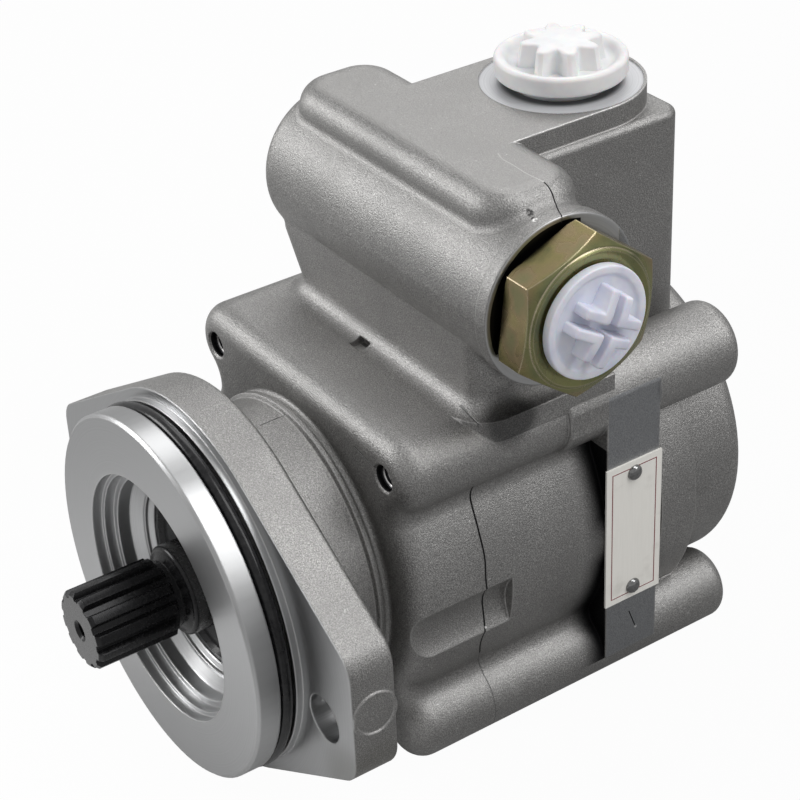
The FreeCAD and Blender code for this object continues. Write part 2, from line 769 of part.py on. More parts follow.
# Flange bolts, and the room milled out of the casting behind each of them.
bolt_x = s.bolt_circle / 2 * s.bolt_turn.cos()
bolt_z = s.bolt_circle / 2 * s.bolt_turn.sin()
for word, side in (("right", 1), ("left", -1)):
    spot_x, spot_z = bolt_x * side, bolt_z * -side
    cuts.append(cylinder("bolt_hole_" + word, s.bolt_hole_radius, s.flange_thickness + 2,
                         (spot_x, -1, spot_z)))
    cuts.append(cylinder("bolt_room_" + word, s.bolt_relief_radius, s.bolt_relief_end - s.flange_thickness,
                         (spot_x, s.flange_thickness, spot_z)))
    tapped = revolved("tapped_hole_" + word, [
        (0, -1), (s.tapped_mouth, -1), (s.tapped_mouth, 0), (s.tapped_radius, 0.7),
        (s.tapped_radius, s.tapped_depth), (0, s.tapped_depth + 2)],
        at=(lobe_side * side, s.barrel_front, lobe_rise))
    cuts.append(tapped)
    flat_x = band_side if side > 0 else -band_side - 10
    cuts.append(box("side_flat_" + word, (10, s.band_rear - s.boss_front + 1.5, 30),
                    (flat_x, s.boss_front - 1.5, lobe_rise - 10)))
cuts.append(box("deck_notch", (s.notch_width, s.notch_length, s.notch_depth + 1),
                (-s.notch_width / 2 - 1.3, s.notch_place - s.notch_length / 2 + 0.5, deck_top - s.notch_depth)))

# Inlet port: a milled face, the thread's core and the passage down to the chamber.
inlet_floor = s.port_face - s.inlet_thread_depth
inlet_bore = revolved("inlet_bore", [
    (0, s.chamber_radius - 4), (s.inlet_bore_radius, s.chamber_radius - 4), (s.inlet_bore_radius, inlet_floor),
    (s.inlet_thread_radius, inlet_floor), (s.inlet_thread_radius, s.port_face - s.port_spot_depth - s.inlet_mouth),
    (s.inlet_thread_radius + s.inlet_mouth, s.port_face - s.port_spot_depth),
    (s.port_spot_radius, s.port_face - s.port_spot_depth), (s.port_spot_radius, s.port_face + 1),
    (0, s.port_face + 1)], role="XZ", at=(0, s.inlet_place, 0))
cuts.append(inlet_bore)

# Flow valve: a blind bore from the right with a wider threaded mouth, and its way back to the chamber.
fitting_floor = s.valve_right - s.fitting_thread_length
cuts.append(cylinder("spool_bore", s.spool_bore_radius, s.spool_bore_end + fitting_floor + 1,
                     (-s.spool_bore_end, s.valve_place, s.valve_rise), ALONG_X))
cuts.append(cylinder("fitting_bore", s.fitting_thread_radius + s.fit_gap, s.fitting_thread_length + 1,
                     (fitting_floor, s.valve_place, s.valve_rise), ALONG_X))
cuts.append(cylinder("bypass_bore", 4, s.valve_rise - s.chamber_radius - 1,
                     (12, s.valve_place, s.chamber_radius - 3), ALONG_Z))
rivet_y = (s.band_front + s.band_rear) / 2
for word, side in (("upper", 1), ("lower", -1)):
    cuts.append(cylinder("rivet_hole_" + word, s.rivet_shank_radius + s.fit_gap, s.rivet_shank_length + 2,
                         (band_side - s.rivet_shank_length - 1, rivet_y, s.rivet_spacing / 2 * side), ALONG_X))
marked = fuse("marked", [solid, casting_mark])
housing = cut("housing", marked, cuts)

nodes = {"housing": housing}


# Shaft

def gap_widths(root, outer, count):
    """Half the width of a spline gap at its root and one millimetre outside the teeth."""
    step = (180 / count).sin()
    return root * step * 0.34, outer * step * 0.78


def splined(body, name, start, length, root, outer, count):
    """Cut straight splines over a length that begins at y = start."""
    half_root, half_reach = gap_widths(root, outer, count)
    sketch = new_sketch(body, name + "_gap", "XZ")
    outline(sketch, [(-half_root, root), (half_root, root), (half_reach, outer + 1), (-half_reach, outer + 1)])
    sketch.setExpression("AttachmentOffset.Base.z", (-size(start)).text)
    feature = body.newObject("PartDesign::Pocket", name)
    feature.Profile = sketch
    tie(feature, Length=length)
    body.Tip = feature
    polar(body, name + "_all", feature, count, "XZ")


first_clip = s.bearing_start - s.clip_width - 0.02
ring_end = s.bearing_start + s.bearing_width
shoulder_end = ring_end + s.shoulder_width
rotor_front = s.plate_front + s.plate_thickness
rotor_back = rotor_front + s.cam_width
drive_shaft = revolved("drive_shaft", [
    (0, -s.shaft_end + s.centre_hole_depth), (s.centre_hole_radius, -s.shaft_end + s.centre_hole_depth * 0.7),
    (s.centre_hole_radius, -s.shaft_end + 0.8), (s.centre_hole_radius + 0.8, -s.shaft_end),
    (s.spline_radius - s.spline_chamfer, -s.shaft_end), (s.spline_radius, -s.shaft_end + s.spline_chamfer),
    (s.spline_radius, -s.spline_start - 1), (s.spline_root, -s.spline_start),
    (s.spline_root, -s.collar_start - 1.2), (s.shaft_radius - 1.2, -s.collar_start, 1.2),
    (s.shaft_radius, -s.collar_start + 1.2), (s.shaft_radius, first_clip),
    (s.shaft_radius - 0.8, first_clip), (s.shaft_radius - 0.8, s.bearing_start),
    (s.shaft_radius, s.bearing_start), (s.shaft_radius, ring_end), (s.shaft_shoulder, ring_end),
    (s.shaft_shoulder, shoulder_end), (s.waist_radius, shoulder_end), (s.waist_radius, rotor_front - 4),
    (s.rotor_spline_radius, rotor_front - 3), (s.rotor_spline_radius, rotor_back + 0.1),
    (s.rotor_spline_radius - 1, rotor_back + 0.1), (s.rotor_spline_radius - 1, rotor_back + 1.4),
    (s.rotor_spline_radius, rotor_back + 1.4), (s.rotor_spline_radius, rotor_back + 2.4),
    (s.journal_radius, rotor_back + 3.4), (s.journal_radius, s.journal_end - 1),
    (s.journal_radius - 1, s.journal_end), (0, s.journal_end)])
splined(drive_shaft, "front_spline", -s.shaft_end - 1, s.shaft_end + 1 - s.spline_start,
        s.spline_root, s.spline_radius, s.spline_teeth)
splined(drive_shaft, "rotor_spline", rotor_front - 3.2, s.cam_width + 6,
        s.rotor_spline_root, s.rotor_spline_radius, s.rotor_spline_teeth)
nodes["drive_shaft"] = drive_shaft


def split_ring(name, inner, outer, start, width, angle):
    """A flat spring ring with a gap at the top."""
    body = new_body(name, (0, start, 0))
    sketch = new_sketch(body, name + "_section", "XY")
    outline(sketch, [(inner, 0), (outer, 0), (outer, width), (inner, width)])
    feature = body.newObject("PartDesign::Revolution", name + "_turned")
    feature.Profile = sketch
    feature.ReferenceAxis = (sketch, ["V_Axis"])
    feature.Angle = angle
    body.Tip = feature
    nodes[name] = body


split_ring("shaft_circlip", s.shaft_radius - 0.78, s.shaft_radius + 2.3, first_clip + 0.01,
           s.clip_width - 0.01, 320)
split_ring("bearing_circlip", s.bearing_radius - 2.6, clip_reach - 0.02, clip_front + 0.05, s.clip_width, 325)
split_ring("rotor_circlip", s.rotor_spline_radius - 0.98, s.rotor_spline_radius + 1.5, rotor_back + 0.12,
           1.2, 320)
split_ring("rear_retaining_ring", s.cover_seat_radius - 3.4, s.cover_seat_radius + s.retainer_depth - 0.05,
           retainer_front + 0.05, s.retainer_width - 0.1, 338)


# Seals

nodes["shaft_seal"] = revolved("shaft_seal", [
    (s.shaft_radius + s.fit_gap, 4.2), (s.shaft_radius + 1.6, 1.9), (s.shaft_radius + 3.4, 1.9),
    (s.shaft_radius + 4.2, 2.6), (s.bearing_radius - 2.4, 2.6), (s.bearing_radius - 1.6, 1.3),
    (s.bearing_radius - 0.5, 1.3), (s.bearing_radius - s.fit_gap, 1.9), (s.bearing_radius - s.fit_gap, 8.4),
    (s.bearing_radius - 1.6, 8.4), (s.bearing_radius - 1.6, 4.4), (s.shaft_radius + 4, 4.4),
    (s.shaft_radius + 2.6, 7.2), (s.shaft_radius + 1.0, 7.2), (s.shaft_radius + s.fit_gap, 5.0)])


def ring(name, mean_radius, section, at, turn=ALONG_Y):
    obj = doc.addObject("Part::Torus", name)
    tie(obj, Radius1=mean_radius, Radius2=section)
    nodes[name] = place(obj, at, turn)


pilot_section = 1.75
ring("pilot_o_ring", groove_floor + pilot_section + s.fit_gap, pilot_section,
     (0, groove_front + s.groove_width / 2, 0))
plate_seal_y = s.plate_front + s.plate_thickness * 0.4
plate_radius = s.chamber_radius - 0.1
ring("pressure_plate_seal", s.chamber_radius - s.fit_gap - s.ring_section, s.ring_section, (0, plate_seal_y, 0))
cover_seal_y = s.cover_seat_start + s.cover_thickness / 2
ring("rear_cover_seal", s.cover_seat_radius - s.fit_gap - s.ring_section, s.ring_section, (0, cover_seal_y, 0))


# Ball bearing on the shaft

ball_circle = (s.bearing_radius + s.shaft_radius) / 2
race = s.ball_radius + s.race_gap
outer_shoulder = s.bearing_radius - s.ring_wall
inner_shoulder = s.shaft_radius + s.ring_wall
bearing_middle = s.bearing_width / 2
race_half = (race * race - (outer_shoulder - ball_circle) * (outer_shoulder - ball_circle)).root()
nodes["bearing_outer_ring"] = revolved("bearing_outer_ring", [
    (outer_shoulder, 0.02), (s.bearing_radius - 1, 0.02), (s.bearing_radius - 0.02, 1),
    (s.bearing_radius - 0.02, s.bearing_width - 1), (s.bearing_radius - 1, s.bearing_width - 0.01),
    (outer_shoulder, s.bearing_width - 0.01), (outer_shoulder, bearing_middle + race_half, -race),
    (outer_shoulder, bearing_middle - race_half)], at=(0, s.bearing_start, 0))
nodes["bearing_inner_ring"] = revolved("bearing_inner_ring", [
    (s.shaft_radius + 0.02, 0.02), (inner_shoulder, 0.02), (inner_shoulder, bearing_middle - race_half, -race),
    (inner_shoulder, bearing_middle + race_half), (inner_shoulder, s.bearing_width - 0.02),
    (s.shaft_radius + 0.02, s.bearing_width - 0.02)], at=(0, s.bearing_start, 0))
bearing_cage = revolved("bearing_cage", [
    (ball_circle - s.cage_wall / 2, -s.cage_half_width), (ball_circle + s.cage_wall / 2, -s.cage_half_width),
    (ball_circle + s.cage_wall / 2, s.cage_half_width), (ball_circle - s.cage_wall / 2, s.cage_half_width)],
    at=(0, s.bearing_start + bearing_middle, 0))
ball_room = new_sketch(bearing_cage, "ball_room", "XY")
circle(ball_room, s.ball_radius + 0.05)
polar(bearing_cage, "ball_rooms", pocket(bearing_cage, "ball_pocket", ball_room), s.ball_count, "XZ")
nodes["bearing_cage"] = bearing_cage
balls = []
for i in range(round(s.ball_count.number)):
    turn = 360 / s.ball_count * i
    ball = doc.addObject("Part::Sphere", f"ball_{i + 1}")
    tie(ball, Radius=s.ball_radius)
    balls.append(place(ball, (ball_circle * turn.sin(), s.bearing_start + bearing_middle,
                              -ball_circle * turn.cos())))


def group(name, parts):
    obj = doc.addObject("Part::Compound", name)
    obj.Links = parts
    nodes[name] = obj


group("bearing_balls", balls)


# Pumping set

def kidneys(body, name, inner, outer, start, sweep):
    """Two opposite curved ports through a plate."""
    sketch = new_sketch(body, name + "_shape", "XZ")
    start, end = size(start), size(start + sweep)
    outline(sketch, [
        (inner * start.cos(), inner * start.sin()), (outer * start.cos(), outer * start.sin(), outer),
        (outer * end.cos(), outer * end.sin()), (inner * end.cos(), inner * end.sin(), -inner)])
    polar(body, name + "_pair", pocket(body, name, sketch), 2, "XZ")


def pin_holes(body, name, start):
    sketch = new_sketch(body, name + "_shape", "XZ")
    circle(sketch, s.pin_radius + s.fit_gap, 0, s.pin_circle)
    circle(sketch, s.pin_radius + s.fit_gap, 0, -s.pin_circle)
    sketch.setExpression("AttachmentOffset.Base.z", (-size(start)).text)
    pocket(body, name, sketch)


groove_radius = s.chamber_radius - s.fit_gap * 2 - s.ring_section * 2
groove_low = s.plate_thickness * 0.4 - s.ring_section - 0.2
groove_high = s.plate_thickness * 0.4 + s.ring_section + 0.2
pressure_plate = revolved("pressure_plate", [
    (s.waist_radius + 0.6, 0), (plate_radius, 0), (plate_radius, groove_low), (groove_radius, groove_low),
    (groove_radius, groove_high), (plate_radius, groove_high), (plate_radius, s.plate_thickness),
    (s.waist_radius + 0.6, s.plate_thickness)], at=(0, s.plate_front, 0))
kidneys(pressure_plate, "outlet_ports", 22.4, 28.0, 40, 32)
pin_holes(pressure_plate, "plate_pin_holes", s.plate_thickness - s.pin_in_plate)
nodes["pressure_plate"] = pressure_plate

oval_x = s.cam_major - s.cam_small_arc
oval_d = s.cam_minor - s.cam_small_arc
oval_k = (oval_x * oval_x - oval_d * oval_d) / (oval_d * 2)
oval_h = (oval_x * oval_x + oval_k * oval_k).root()
oval_arc = s.cam_minor + oval_k
join_x = oval_arc * oval_x / oval_h
join_z = oval_arc * oval_k / oval_h - oval_k
cam_ring = new_body("cam_ring", (0, rotor_front, 0))
cam_sketch = new_sketch(cam_ring, "cam_profile", "XZ")
circle(cam_sketch, s.cam_outer_radius)
outline(cam_sketch, [
    (join_x, join_z, oval_arc), (-join_x, join_z, s.cam_small_arc), (-join_x, -join_z, oval_arc),
    (join_x, -join_z, s.cam_small_arc)])
for side in (1, -1):
    circle(cam_sketch, s.pin_radius + s.fit_gap, 0, s.pin_circle * side)
pad(cam_ring, "cam_pad", cam_sketch, s.cam_width, True)
nodes["cam_ring"] = cam_ring

vane_tip = s.cam_minor - s.tip_gap
slot_floor = vane_tip - s.vane_height - s.vane_travel - s.slot_gap
rotor_length = s.cam_width - s.fit_gap * 2
rotor = revolved("rotor", [
    (s.rotor_spline_radius + s.fit_gap, 0), (s.rotor_radius, 0), (s.rotor_radius, rotor_length),
    (s.rotor_spline_radius + s.fit_gap, rotor_length)], at=(0, rotor_front + s.fit_gap, 0))
slot = new_sketch(rotor, "vane_slot_shape", "XZ")
slot_half = s.vane_thickness / 2 + s.vane_gap
outline(slot, [(slot_floor, -slot_half), (s.rotor_radius + 2, -slot_half), (s.rotor_radius + 2, slot_half),
               (slot_floor, slot_half)])
polar(rotor, "vane_slots", pocket(rotor, "vane_slot", slot), 10, "XZ")
tooth_low = s.rotor_spline_root + 0.1
tooth_high = s.rotor_spline_radius + 0.3
half_low, half_out = gap_widths(s.rotor_spline_root, s.rotor_spline_radius, s.rotor_spline_teeth)
spread = (half_out - half_low) / (s.rotor_spline_radius + 1 - s.rotor_spline_root)
tooth = new_sketch(rotor, "rotor_tooth_shape", "XZ")
outline(tooth, [
    (-half_low, tooth_low), (half_low, tooth_low),
    (half_low + spread * (tooth_high - tooth_low), tooth_high),
    (-half_low - spread * (tooth_high - tooth_low), tooth_high)])
tooth_pad = pad(rotor, "rotor_tooth", tooth, rotor_length, True)
polar(rotor, "rotor_teeth", tooth_pad, s.rotor_spline_teeth, "XZ")
nodes["rotor"] = rotor

for i in range(10):
    turn = size(36 * i)
    name = f"vane_{i + 1:02d}"
    vane = doc.addObject("Part::Box", name)
    tie(vane, Length=s.vane_height, Width=s.cam_width - s.fit_gap * 4, Height=s.vane_thickness)
    inner = vane_tip - s.vane_height
    half = s.vane_thickness / 2
    place(vane, (inner * turn.cos() - half * turn.sin(), rotor_front + s.fit_gap * 2,
                 -inner * turn.sin() - half * turn.cos()), Rotation(Vector(0, 1, 0), 36 * i))
    nodes[name] = vane

side_plate = revolved("side_plate", [
    (s.rotor_spline_radius + 2.4, 0), (s.cam_outer_radius, 0), (s.cam_outer_radius, s.side_plate_thickness),
    (s.rotor_spline_radius + 2.4, s.side_plate_thickness)], at=(0, rotor_back, 0))
kidneys(side_plate, "inlet_ports", 22.4, 28.0, 108, 32)
pin_holes(side_plate, "side_pin_holes", 0)
nodes["side_plate"] = side_plate

pins = []
pin_length = s.pin_in_plate + s.cam_width + s.side_plate_thickness - 0.1
for word, side in (("upper", 1), ("lower", -1)):
    pins.append(cylinder("dowel_pin_" + word, s.pin_radius, pin_length,
                         (0, rotor_front - s.pin_in_plate + 0.05, s.pin_circle * side)))
group("dowel_pins", pins)

spring_rise = s.plate_front - s.chamber_front - 1.1
nodes["pressure_spring"] = revolved("pressure_spring", [
    (24, spring_rise), (38, 0), (38.3, 1), (24.3, spring_rise + 1)], at=(0, s.chamber_front + 0.05, 0))


# Rear cover and the shaft's rear bush

cover_back = s.cover_seat_start + s.cover_thickness
bush_radius = s.journal_radius + s.bush_wall
hub_front = rotor_back + s.side_plate_thickness
seal_low = s.cover_thickness / 2 - s.ring_section - 0.2
seal_high = s.cover_thickness / 2 + s.ring_section + 0.2
seal_floor = s.cover_seat_radius - s.fit_gap * 2 - s.ring_section * 2
hub_length = s.cover_seat_start - hub_front
cover_edge = s.cover_seat_radius - s.fit_gap
nodes["rear_cover"] = revolved("rear_cover", [
    (bush_radius + 0.02, -hub_length), (s.cover_hub_radius - 1, -hub_length), (s.cover_hub_radius, 1 - hub_length),
    (s.cover_hub_radius, 0), (cover_edge, 0), (cover_edge, seal_low), (seal_floor, seal_low),
    (seal_floor, seal_high), (cover_edge, seal_high), (cover_edge, s.cover_thickness - s.cover_step),
    (cover_edge, s.cover_thickness), (s.cover_seat_radius - 5, s.cover_thickness),
    (s.cover_seat_radius - 6, s.cover_thickness - s.cover_step),
    (s.cover_hub_radius - 7, s.cover_thickness - s.cover_step), (s.cover_hub_radius - 9, s.cover_thickness),
    (0, s.cover_thickness), (0, -3), (bush_radius + 0.02, -5)], at=(0, s.cover_seat_start, 0))
nodes["rear_bush"] = revolved("rear_bush", [
    (s.journal_radius + s.fit_gap, 0), (bush_radius, 0), (bush_radius, 16), (s.journal_radius + s.fit_gap, 16)],
    at=(0, hub_front + 2, 0))


# Flow valve: its own axis runs to the right

TO_RIGHT = Rotation(Vector(0, 0, 1), -90)


def on_valve(body, x, turn=TO_RIGHT):
    body.Placement = Placement(Vector(), turn)
    for letter, value in zip("xyz", (size(x), s.valve_place, s.valve_rise)):
        body.setExpression(f"Placement.Base.{letter}", value.text)
    return body


def coil(name, mean_radius, wire, length, turns):
    """A coil spring along its own Y axis, starting at the origin."""
    body = new_body(name)
    sketch = new_sketch(body, name + "_wire", "XY")
    outline(sketch, [(mean_radius - wire, 0), (mean_radius + wire, 0), (mean_radius + wire, wire * 2),
                     (mean_radius - wire, wire * 2)])
    feature = body.newObject("PartDesign::AdditiveHelix", name + "_coil")
    feature.Profile = sketch
    feature.ReferenceAxis = (sketch, ["V_Axis"])
    feature.Mode = 0
    rise = size(length) - wire * 2
    tie(feature, Height=rise, Pitch=rise / turns)
    body.Tip = feature
    nodes[name] = body
    return body


spool_left = -s.spool_left
spool_radius = s.spool_bore_radius - s.fit_gap
relief_floor = s.spool_length - 8
flow_spool = revolved("flow_spool", [
    (0, relief_floor + 2), (s.relief_bore_radius, relief_floor), (s.relief_bore_radius, s.spool_pocket_depth),
    (s.spool_pocket_radius, s.spool_pocket_depth), (s.spool_pocket_radius, 0), (spool_radius - 0.5, 0),
    (spool_radius, 0.5), (spool_radius, s.spool_land), (s.spool_waist_radius, s.spool_land),
    (s.spool_waist_radius, s.spool_length - s.spool_land), (spool_radius, s.spool_length - s.spool_land),
    (spool_radius, s.spool_length - 0.5), (spool_radius - 0.5, s.spool_length), (0, s.spool_length)])
vent = new_sketch(flow_spool, "vent_shape", "XY")
circle(vent, 1.4, 0, s.spool_length / 2 + 1)
polar(flow_spool, "vents", pocket(flow_spool, "vent", vent), 2, "XZ")
nodes["flow_spool"] = on_valve(flow_spool, spool_left)
seat_end = s.spool_pocket_depth + s.relief_seat_length
nodes["relief_seat"] = on_valve(revolved("relief_seat", [
    (1.2, 0), (s.relief_bore_radius - 0.02, 0), (s.relief_bore_radius - 0.02, s.relief_seat_length),
    (1.2, s.relief_seat_length)]), spool_left + s.spool_pocket_depth)
ball_rise = (s.relief_ball_radius * s.relief_ball_radius - 1.44).root() + 0.03
relief_ball = doc.addObject("Part::Sphere", "relief_ball")
tie(relief_ball, Radius=s.relief_ball_radius)
place(relief_ball, (spool_left + seat_end + ball_rise, s.valve_place, s.valve_rise))
nodes["relief_ball"] = relief_ball
ball_back = seat_end + ball_rise + s.relief_ball_radius + 0.02
on_valve(coil("relief_spring", s.relief_bore_radius - s.relief_wire - 0.3, s.relief_wire,
              relief_floor - ball_back - 0.02, 8), spool_left + ball_back)
spring_length = s.spool_bore_end - s.spool_left + s.spool_pocket_depth - 0.04
on_valve(coil("flow_spring", s.spool_pocket_radius - s.spring_wire - 0.3, s.spring_wire, spring_length,
              s.spring_turns), -s.spool_bore_end + 0.02)

# The outlet fitting closes the valve bore, and its nose is the spool's stop.
nose_start = spool_left + s.spool_length + 0.03
nose_length = fitting_floor - nose_start
collar_at = s.valve_right - nose_start
hex_front = collar_at + s.fitting_washer
hex_back = hex_front + s.hex_height
flat_half = s.hex_across_flats / 2
hex_corner = flat_half / size(30).cos()
port_floor = hex_back - s.outlet_thread_depth
outlet_fitting = revolved("outlet_fitting", [
    (s.outlet_bore_radius, 0), (s.spool_bore_radius - 0.2, 0), (s.spool_bore_radius - 0.2, nose_length + 0.3),
    (s.fitting_thread_radius - 1, nose_length + 0.3), (s.fitting_thread_radius, nose_length + 1.3),
    (s.fitting_thread_radius, hex_front), (flat_half - 0.3, hex_front), (hex_corner, hex_front + s.hex_chamfer),
    (hex_corner, hex_back - s.hex_chamfer), (flat_half - 0.3, hex_back), (s.outlet_mouth_radius, hex_back),
    (s.outlet_mouth_radius, hex_back - s.outlet_mouth_depth),
    (s.outlet_thread_radius + 0.8, hex_back - s.outlet_mouth_depth),
    (s.outlet_thread_radius, hex_back - s.outlet_mouth_depth - 0.8), (s.outlet_thread_radius, port_floor),
    (s.outlet_bore_radius, port_floor)])
flat = new_sketch(outlet_fitting, "hex_flat_shape", "XZ")
outline(flat, [(flat_half, -15), (flat_half + 6, -15), (flat_half + 6, 15), (flat_half, 15)])
polar(outlet_fitting, "hex_flats", pocket(outlet_fitting, "hex_flat", flat), 6, "XZ")
hex_rotation = Rotation(Vector(1, 0, 0), SIZES["hex_turn"] + 30).multiply(TO_RIGHT)
nodes["outlet_fitting"] = on_valve(outlet_fitting, nose_start, hex_rotation)
nodes["outlet_fitting_seal"] = on_valve(revolved("outlet_fitting_seal", [
    (s.fitting_thread_radius + 0.1, 0), (s.fitting_thread_radius + 2.9, 0),
    (s.fitting_thread_radius + 2.9, s.fitting_washer), (s.fitting_thread_radius + 0.1, s.fitting_washer)]),
    s.valve_right)


# Shipping plugs

fitting_face = s.valve_right + s.fitting_washer + s.hex_height
shank = s.outlet_thread_depth - s.outlet_mouth_depth - 2
collar = s.outlet_mouth_depth + s.outlet_cap_standoff
cap_front = shank + collar
cap_back = cap_front + s.outlet_cap_thickness
outlet_cap = revolved("outlet_cap", [
    (s.outlet_thread_radius - s.cap_wall - 0.1, 0), (s.outlet_thread_radius - 0.1, 0),
    (s.outlet_thread_radius - 0.1, shank + 0.2), (s.outlet_mouth_radius - 0.6, shank + 0.2),
    (s.outlet_mouth_radius - 0.6, cap_front), (s.outlet_cap_radius - 0.6, cap_front),
    (s.outlet_cap_radius, cap_front + 0.6), (s.outlet_cap_radius, cap_front + s.outlet_cap_thickness - 0.8, 0.8),
    (s.outlet_cap_radius - 0.8, cap_back), (s.outlet_cap_radius - s.cap_rim_width, cap_back),
    (s.outlet_cap_radius - s.cap_rim_width - s.cap_dish, cap_back - s.cap_dish), (0, cap_back - s.cap_dish),
    (0, cap_front), (s.outlet_thread_radius - s.cap_wall - 0.1, cap_front)])
rib_near = s.cap_slot_width / 2
rib_far = rib_near + s.cap_rib_width
rib_sketch = new_sketch(outlet_cap, "rib_shape", "XZ")
outline(rib_sketch, [(rib_near, rib_near), (s.cap_rib_reach, rib_near), (s.cap_rib_reach, rib_far), (rib_far, rib_far),
                     (rib_far, s.cap_rib_reach), (rib_near, s.cap_rib_reach)])
rib_sketch.setExpression("AttachmentOffset.Base.z", (-(cap_back - s.cap_dish - 0.5)).text)
corner_rib = pad(outlet_cap, "corner_rib", rib_sketch, s.cap_rib_height + s.cap_dish + 0.5, True)
polar(outlet_cap, "corner_ribs", corner_rib, 4, "XZ")
nodes["outlet_cap"] = on_valve(outlet_cap, fitting_face - s.outlet_mouth_depth - shank,
                               Rotation(Vector(1, 0, 0), SIZES["cap_turn"]).multiply(TO_RIGHT))

plug_depth = s.inlet_thread_depth - 6
plug_face = plug_depth + s.inlet_plug_standoff
plug_top = plug_face + s.inlet_plug_thickness
plug_bottom = s.port_face - s.port_spot_depth - plug_depth
inlet_plug = revolved("inlet_plug", [
    (s.inlet_thread_radius - s.cap_wall - 0.1, 0), (s.inlet_thread_radius - 0.1, 0),
    (s.inlet_thread_radius - 0.1, plug_face), (s.inlet_plug_radius - 0.6, plug_face),
    (s.inlet_plug_radius, plug_face + 0.6), (s.inlet_plug_radius, plug_top - 0.8, 0.8),
    (s.inlet_plug_radius - 0.8, plug_top), (s.inlet_plug_radius - s.cap_rim_width, plug_top),
    (s.inlet_plug_radius - s.cap_rim_width - s.cap_dish, plug_top - s.cap_dish),
    (s.plug_core_radius, plug_top - s.cap_dish), (s.plug_core_radius, plug_top + s.plug_grip_height),
    (0, plug_top + s.plug_grip_height), (0, plug_face),
    (s.inlet_thread_radius - s.cap_wall - 0.1, plug_face)])
lobe_sketch = new_sketch(inlet_plug, "grip_lobe_shape", "XZ")
circle(lobe_sketch, s.plug_lobe_radius, s.plug_grip_radius, 0)
lobe_sketch.setExpression("AttachmentOffset.Base.z", (-(plug_top - s.cap_dish - 0.5)).text)
lobe_pad = pad(inlet_plug, "grip_lobe", lobe_sketch, s.plug_grip_height + s.cap_dish + 0.2, True)
polar(inlet_plug, "grip_lobes", lobe_pad, s.plug_lobes, "XZ")
place(inlet_plug, (0, s.inlet_place, plug_bottom),
      Rotation(Vector(0, 0, 1), SIZES["plug_turn"]).multiply(Rotation(Vector(1, 0, 0), 90)))
nodes["inlet_plug"] = inlet_plug


# Nameplate

nameplate = new_body("nameplate", (band_side, rivet_y, 0))
plate_sketch = new_sketch(nameplate, "nameplate_outline", "YZ")
half_w, half_h = s.nameplate_width / 2, s.nameplate_height / 2
outline(plate_sketch, [(-half_w, -half_h), (half_w, -half_h), (half_w, half_h), (-half_w, half_h)])
for side in (1, -1):
    circle(plate_sketch, s.rivet_shank_radius + s.fit_gap, 0, s.rivet_spacing / 2 * side)
pad(nameplate, "nameplate_pad", plate_sketch, s.nameplate_thickness)
nodes["nameplate"] = nameplate
rivets = []
for word, side in (("upper", 1), ("lower", -1)):
    rivet = revolved("rivet_" + word, [
        (0, -s.rivet_shank_length), (s.rivet_shank_radius, -s.rivet_shank_length), (s.rivet_shank_radius, 0.01),
        (s.rivet_radius, 0.01), (s.rivet_radius, 0.3), (s.rivet_radius * 0.8, 0.9),
        (s.rivet_radius * 0.45, 1.25), (0, 1.35)])
    rivet.Placement = Placement(Vector(), TO_RIGHT)
    spot = (band_side + s.nameplate_thickness, rivet_y, s.rivet_spacing / 2 * side)
    for letter, value in zip("xyz", spot):
        rivet.setExpression(f"Placement.Base.{letter}", value.text)
    rivets.append(rivet)
group("nameplate_screws", rivets)


# Checks and one file for each piece

doc.recompute()
for obj in doc.Objects:
    if "Invalid" in obj.State or "Error" in obj.State:
        raise RuntimeError(f"{obj.Name}: {obj.State}")
os.makedirs("parts", exist_ok=True)
for name, obj in nodes.items():
    obj.Label = name
    if obj.Shape.isNull() or not obj.Shape.isValid():
        raise RuntimeError(f"{name}: the shape is not valid")
    obj.Shape.exportStep(f"parts/{name}.step")
    print(name, len(obj.Shape.Solids), round(obj.Shape.Volume, 1))
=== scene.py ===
# %% [markdown]
# # A power steering pump in a white studio
# The pump is an aluminium casting with a turned pilot and a splined shaft in
# front, and a valve barrel lying across its top. A reader who is learning
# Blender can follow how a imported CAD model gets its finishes, how small moulded
# pieces are shaped by hand on top of it, and how it is lit and photographed.

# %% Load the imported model
import math

import bpy
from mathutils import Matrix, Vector


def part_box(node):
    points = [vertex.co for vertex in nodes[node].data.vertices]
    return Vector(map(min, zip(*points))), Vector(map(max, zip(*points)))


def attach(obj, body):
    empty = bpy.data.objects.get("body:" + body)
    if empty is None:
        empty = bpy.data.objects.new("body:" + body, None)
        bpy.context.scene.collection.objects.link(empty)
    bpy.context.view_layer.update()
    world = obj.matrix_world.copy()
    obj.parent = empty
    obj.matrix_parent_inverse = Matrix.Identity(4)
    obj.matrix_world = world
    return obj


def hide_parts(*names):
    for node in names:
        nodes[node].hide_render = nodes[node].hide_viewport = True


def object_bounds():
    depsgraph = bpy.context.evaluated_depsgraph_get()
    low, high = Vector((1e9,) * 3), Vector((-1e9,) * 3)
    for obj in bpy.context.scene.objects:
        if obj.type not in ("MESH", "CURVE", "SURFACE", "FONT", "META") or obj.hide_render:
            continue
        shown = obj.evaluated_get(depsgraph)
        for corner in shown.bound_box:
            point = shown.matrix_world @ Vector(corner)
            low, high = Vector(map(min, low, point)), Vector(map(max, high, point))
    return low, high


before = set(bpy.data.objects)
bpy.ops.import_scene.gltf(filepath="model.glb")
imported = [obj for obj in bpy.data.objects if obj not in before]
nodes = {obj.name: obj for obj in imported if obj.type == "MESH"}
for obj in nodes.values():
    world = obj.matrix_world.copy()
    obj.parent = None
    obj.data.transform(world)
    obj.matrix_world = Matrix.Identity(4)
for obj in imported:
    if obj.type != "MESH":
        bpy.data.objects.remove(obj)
MM = 0.001
cad_box = [list(corner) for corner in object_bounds()]

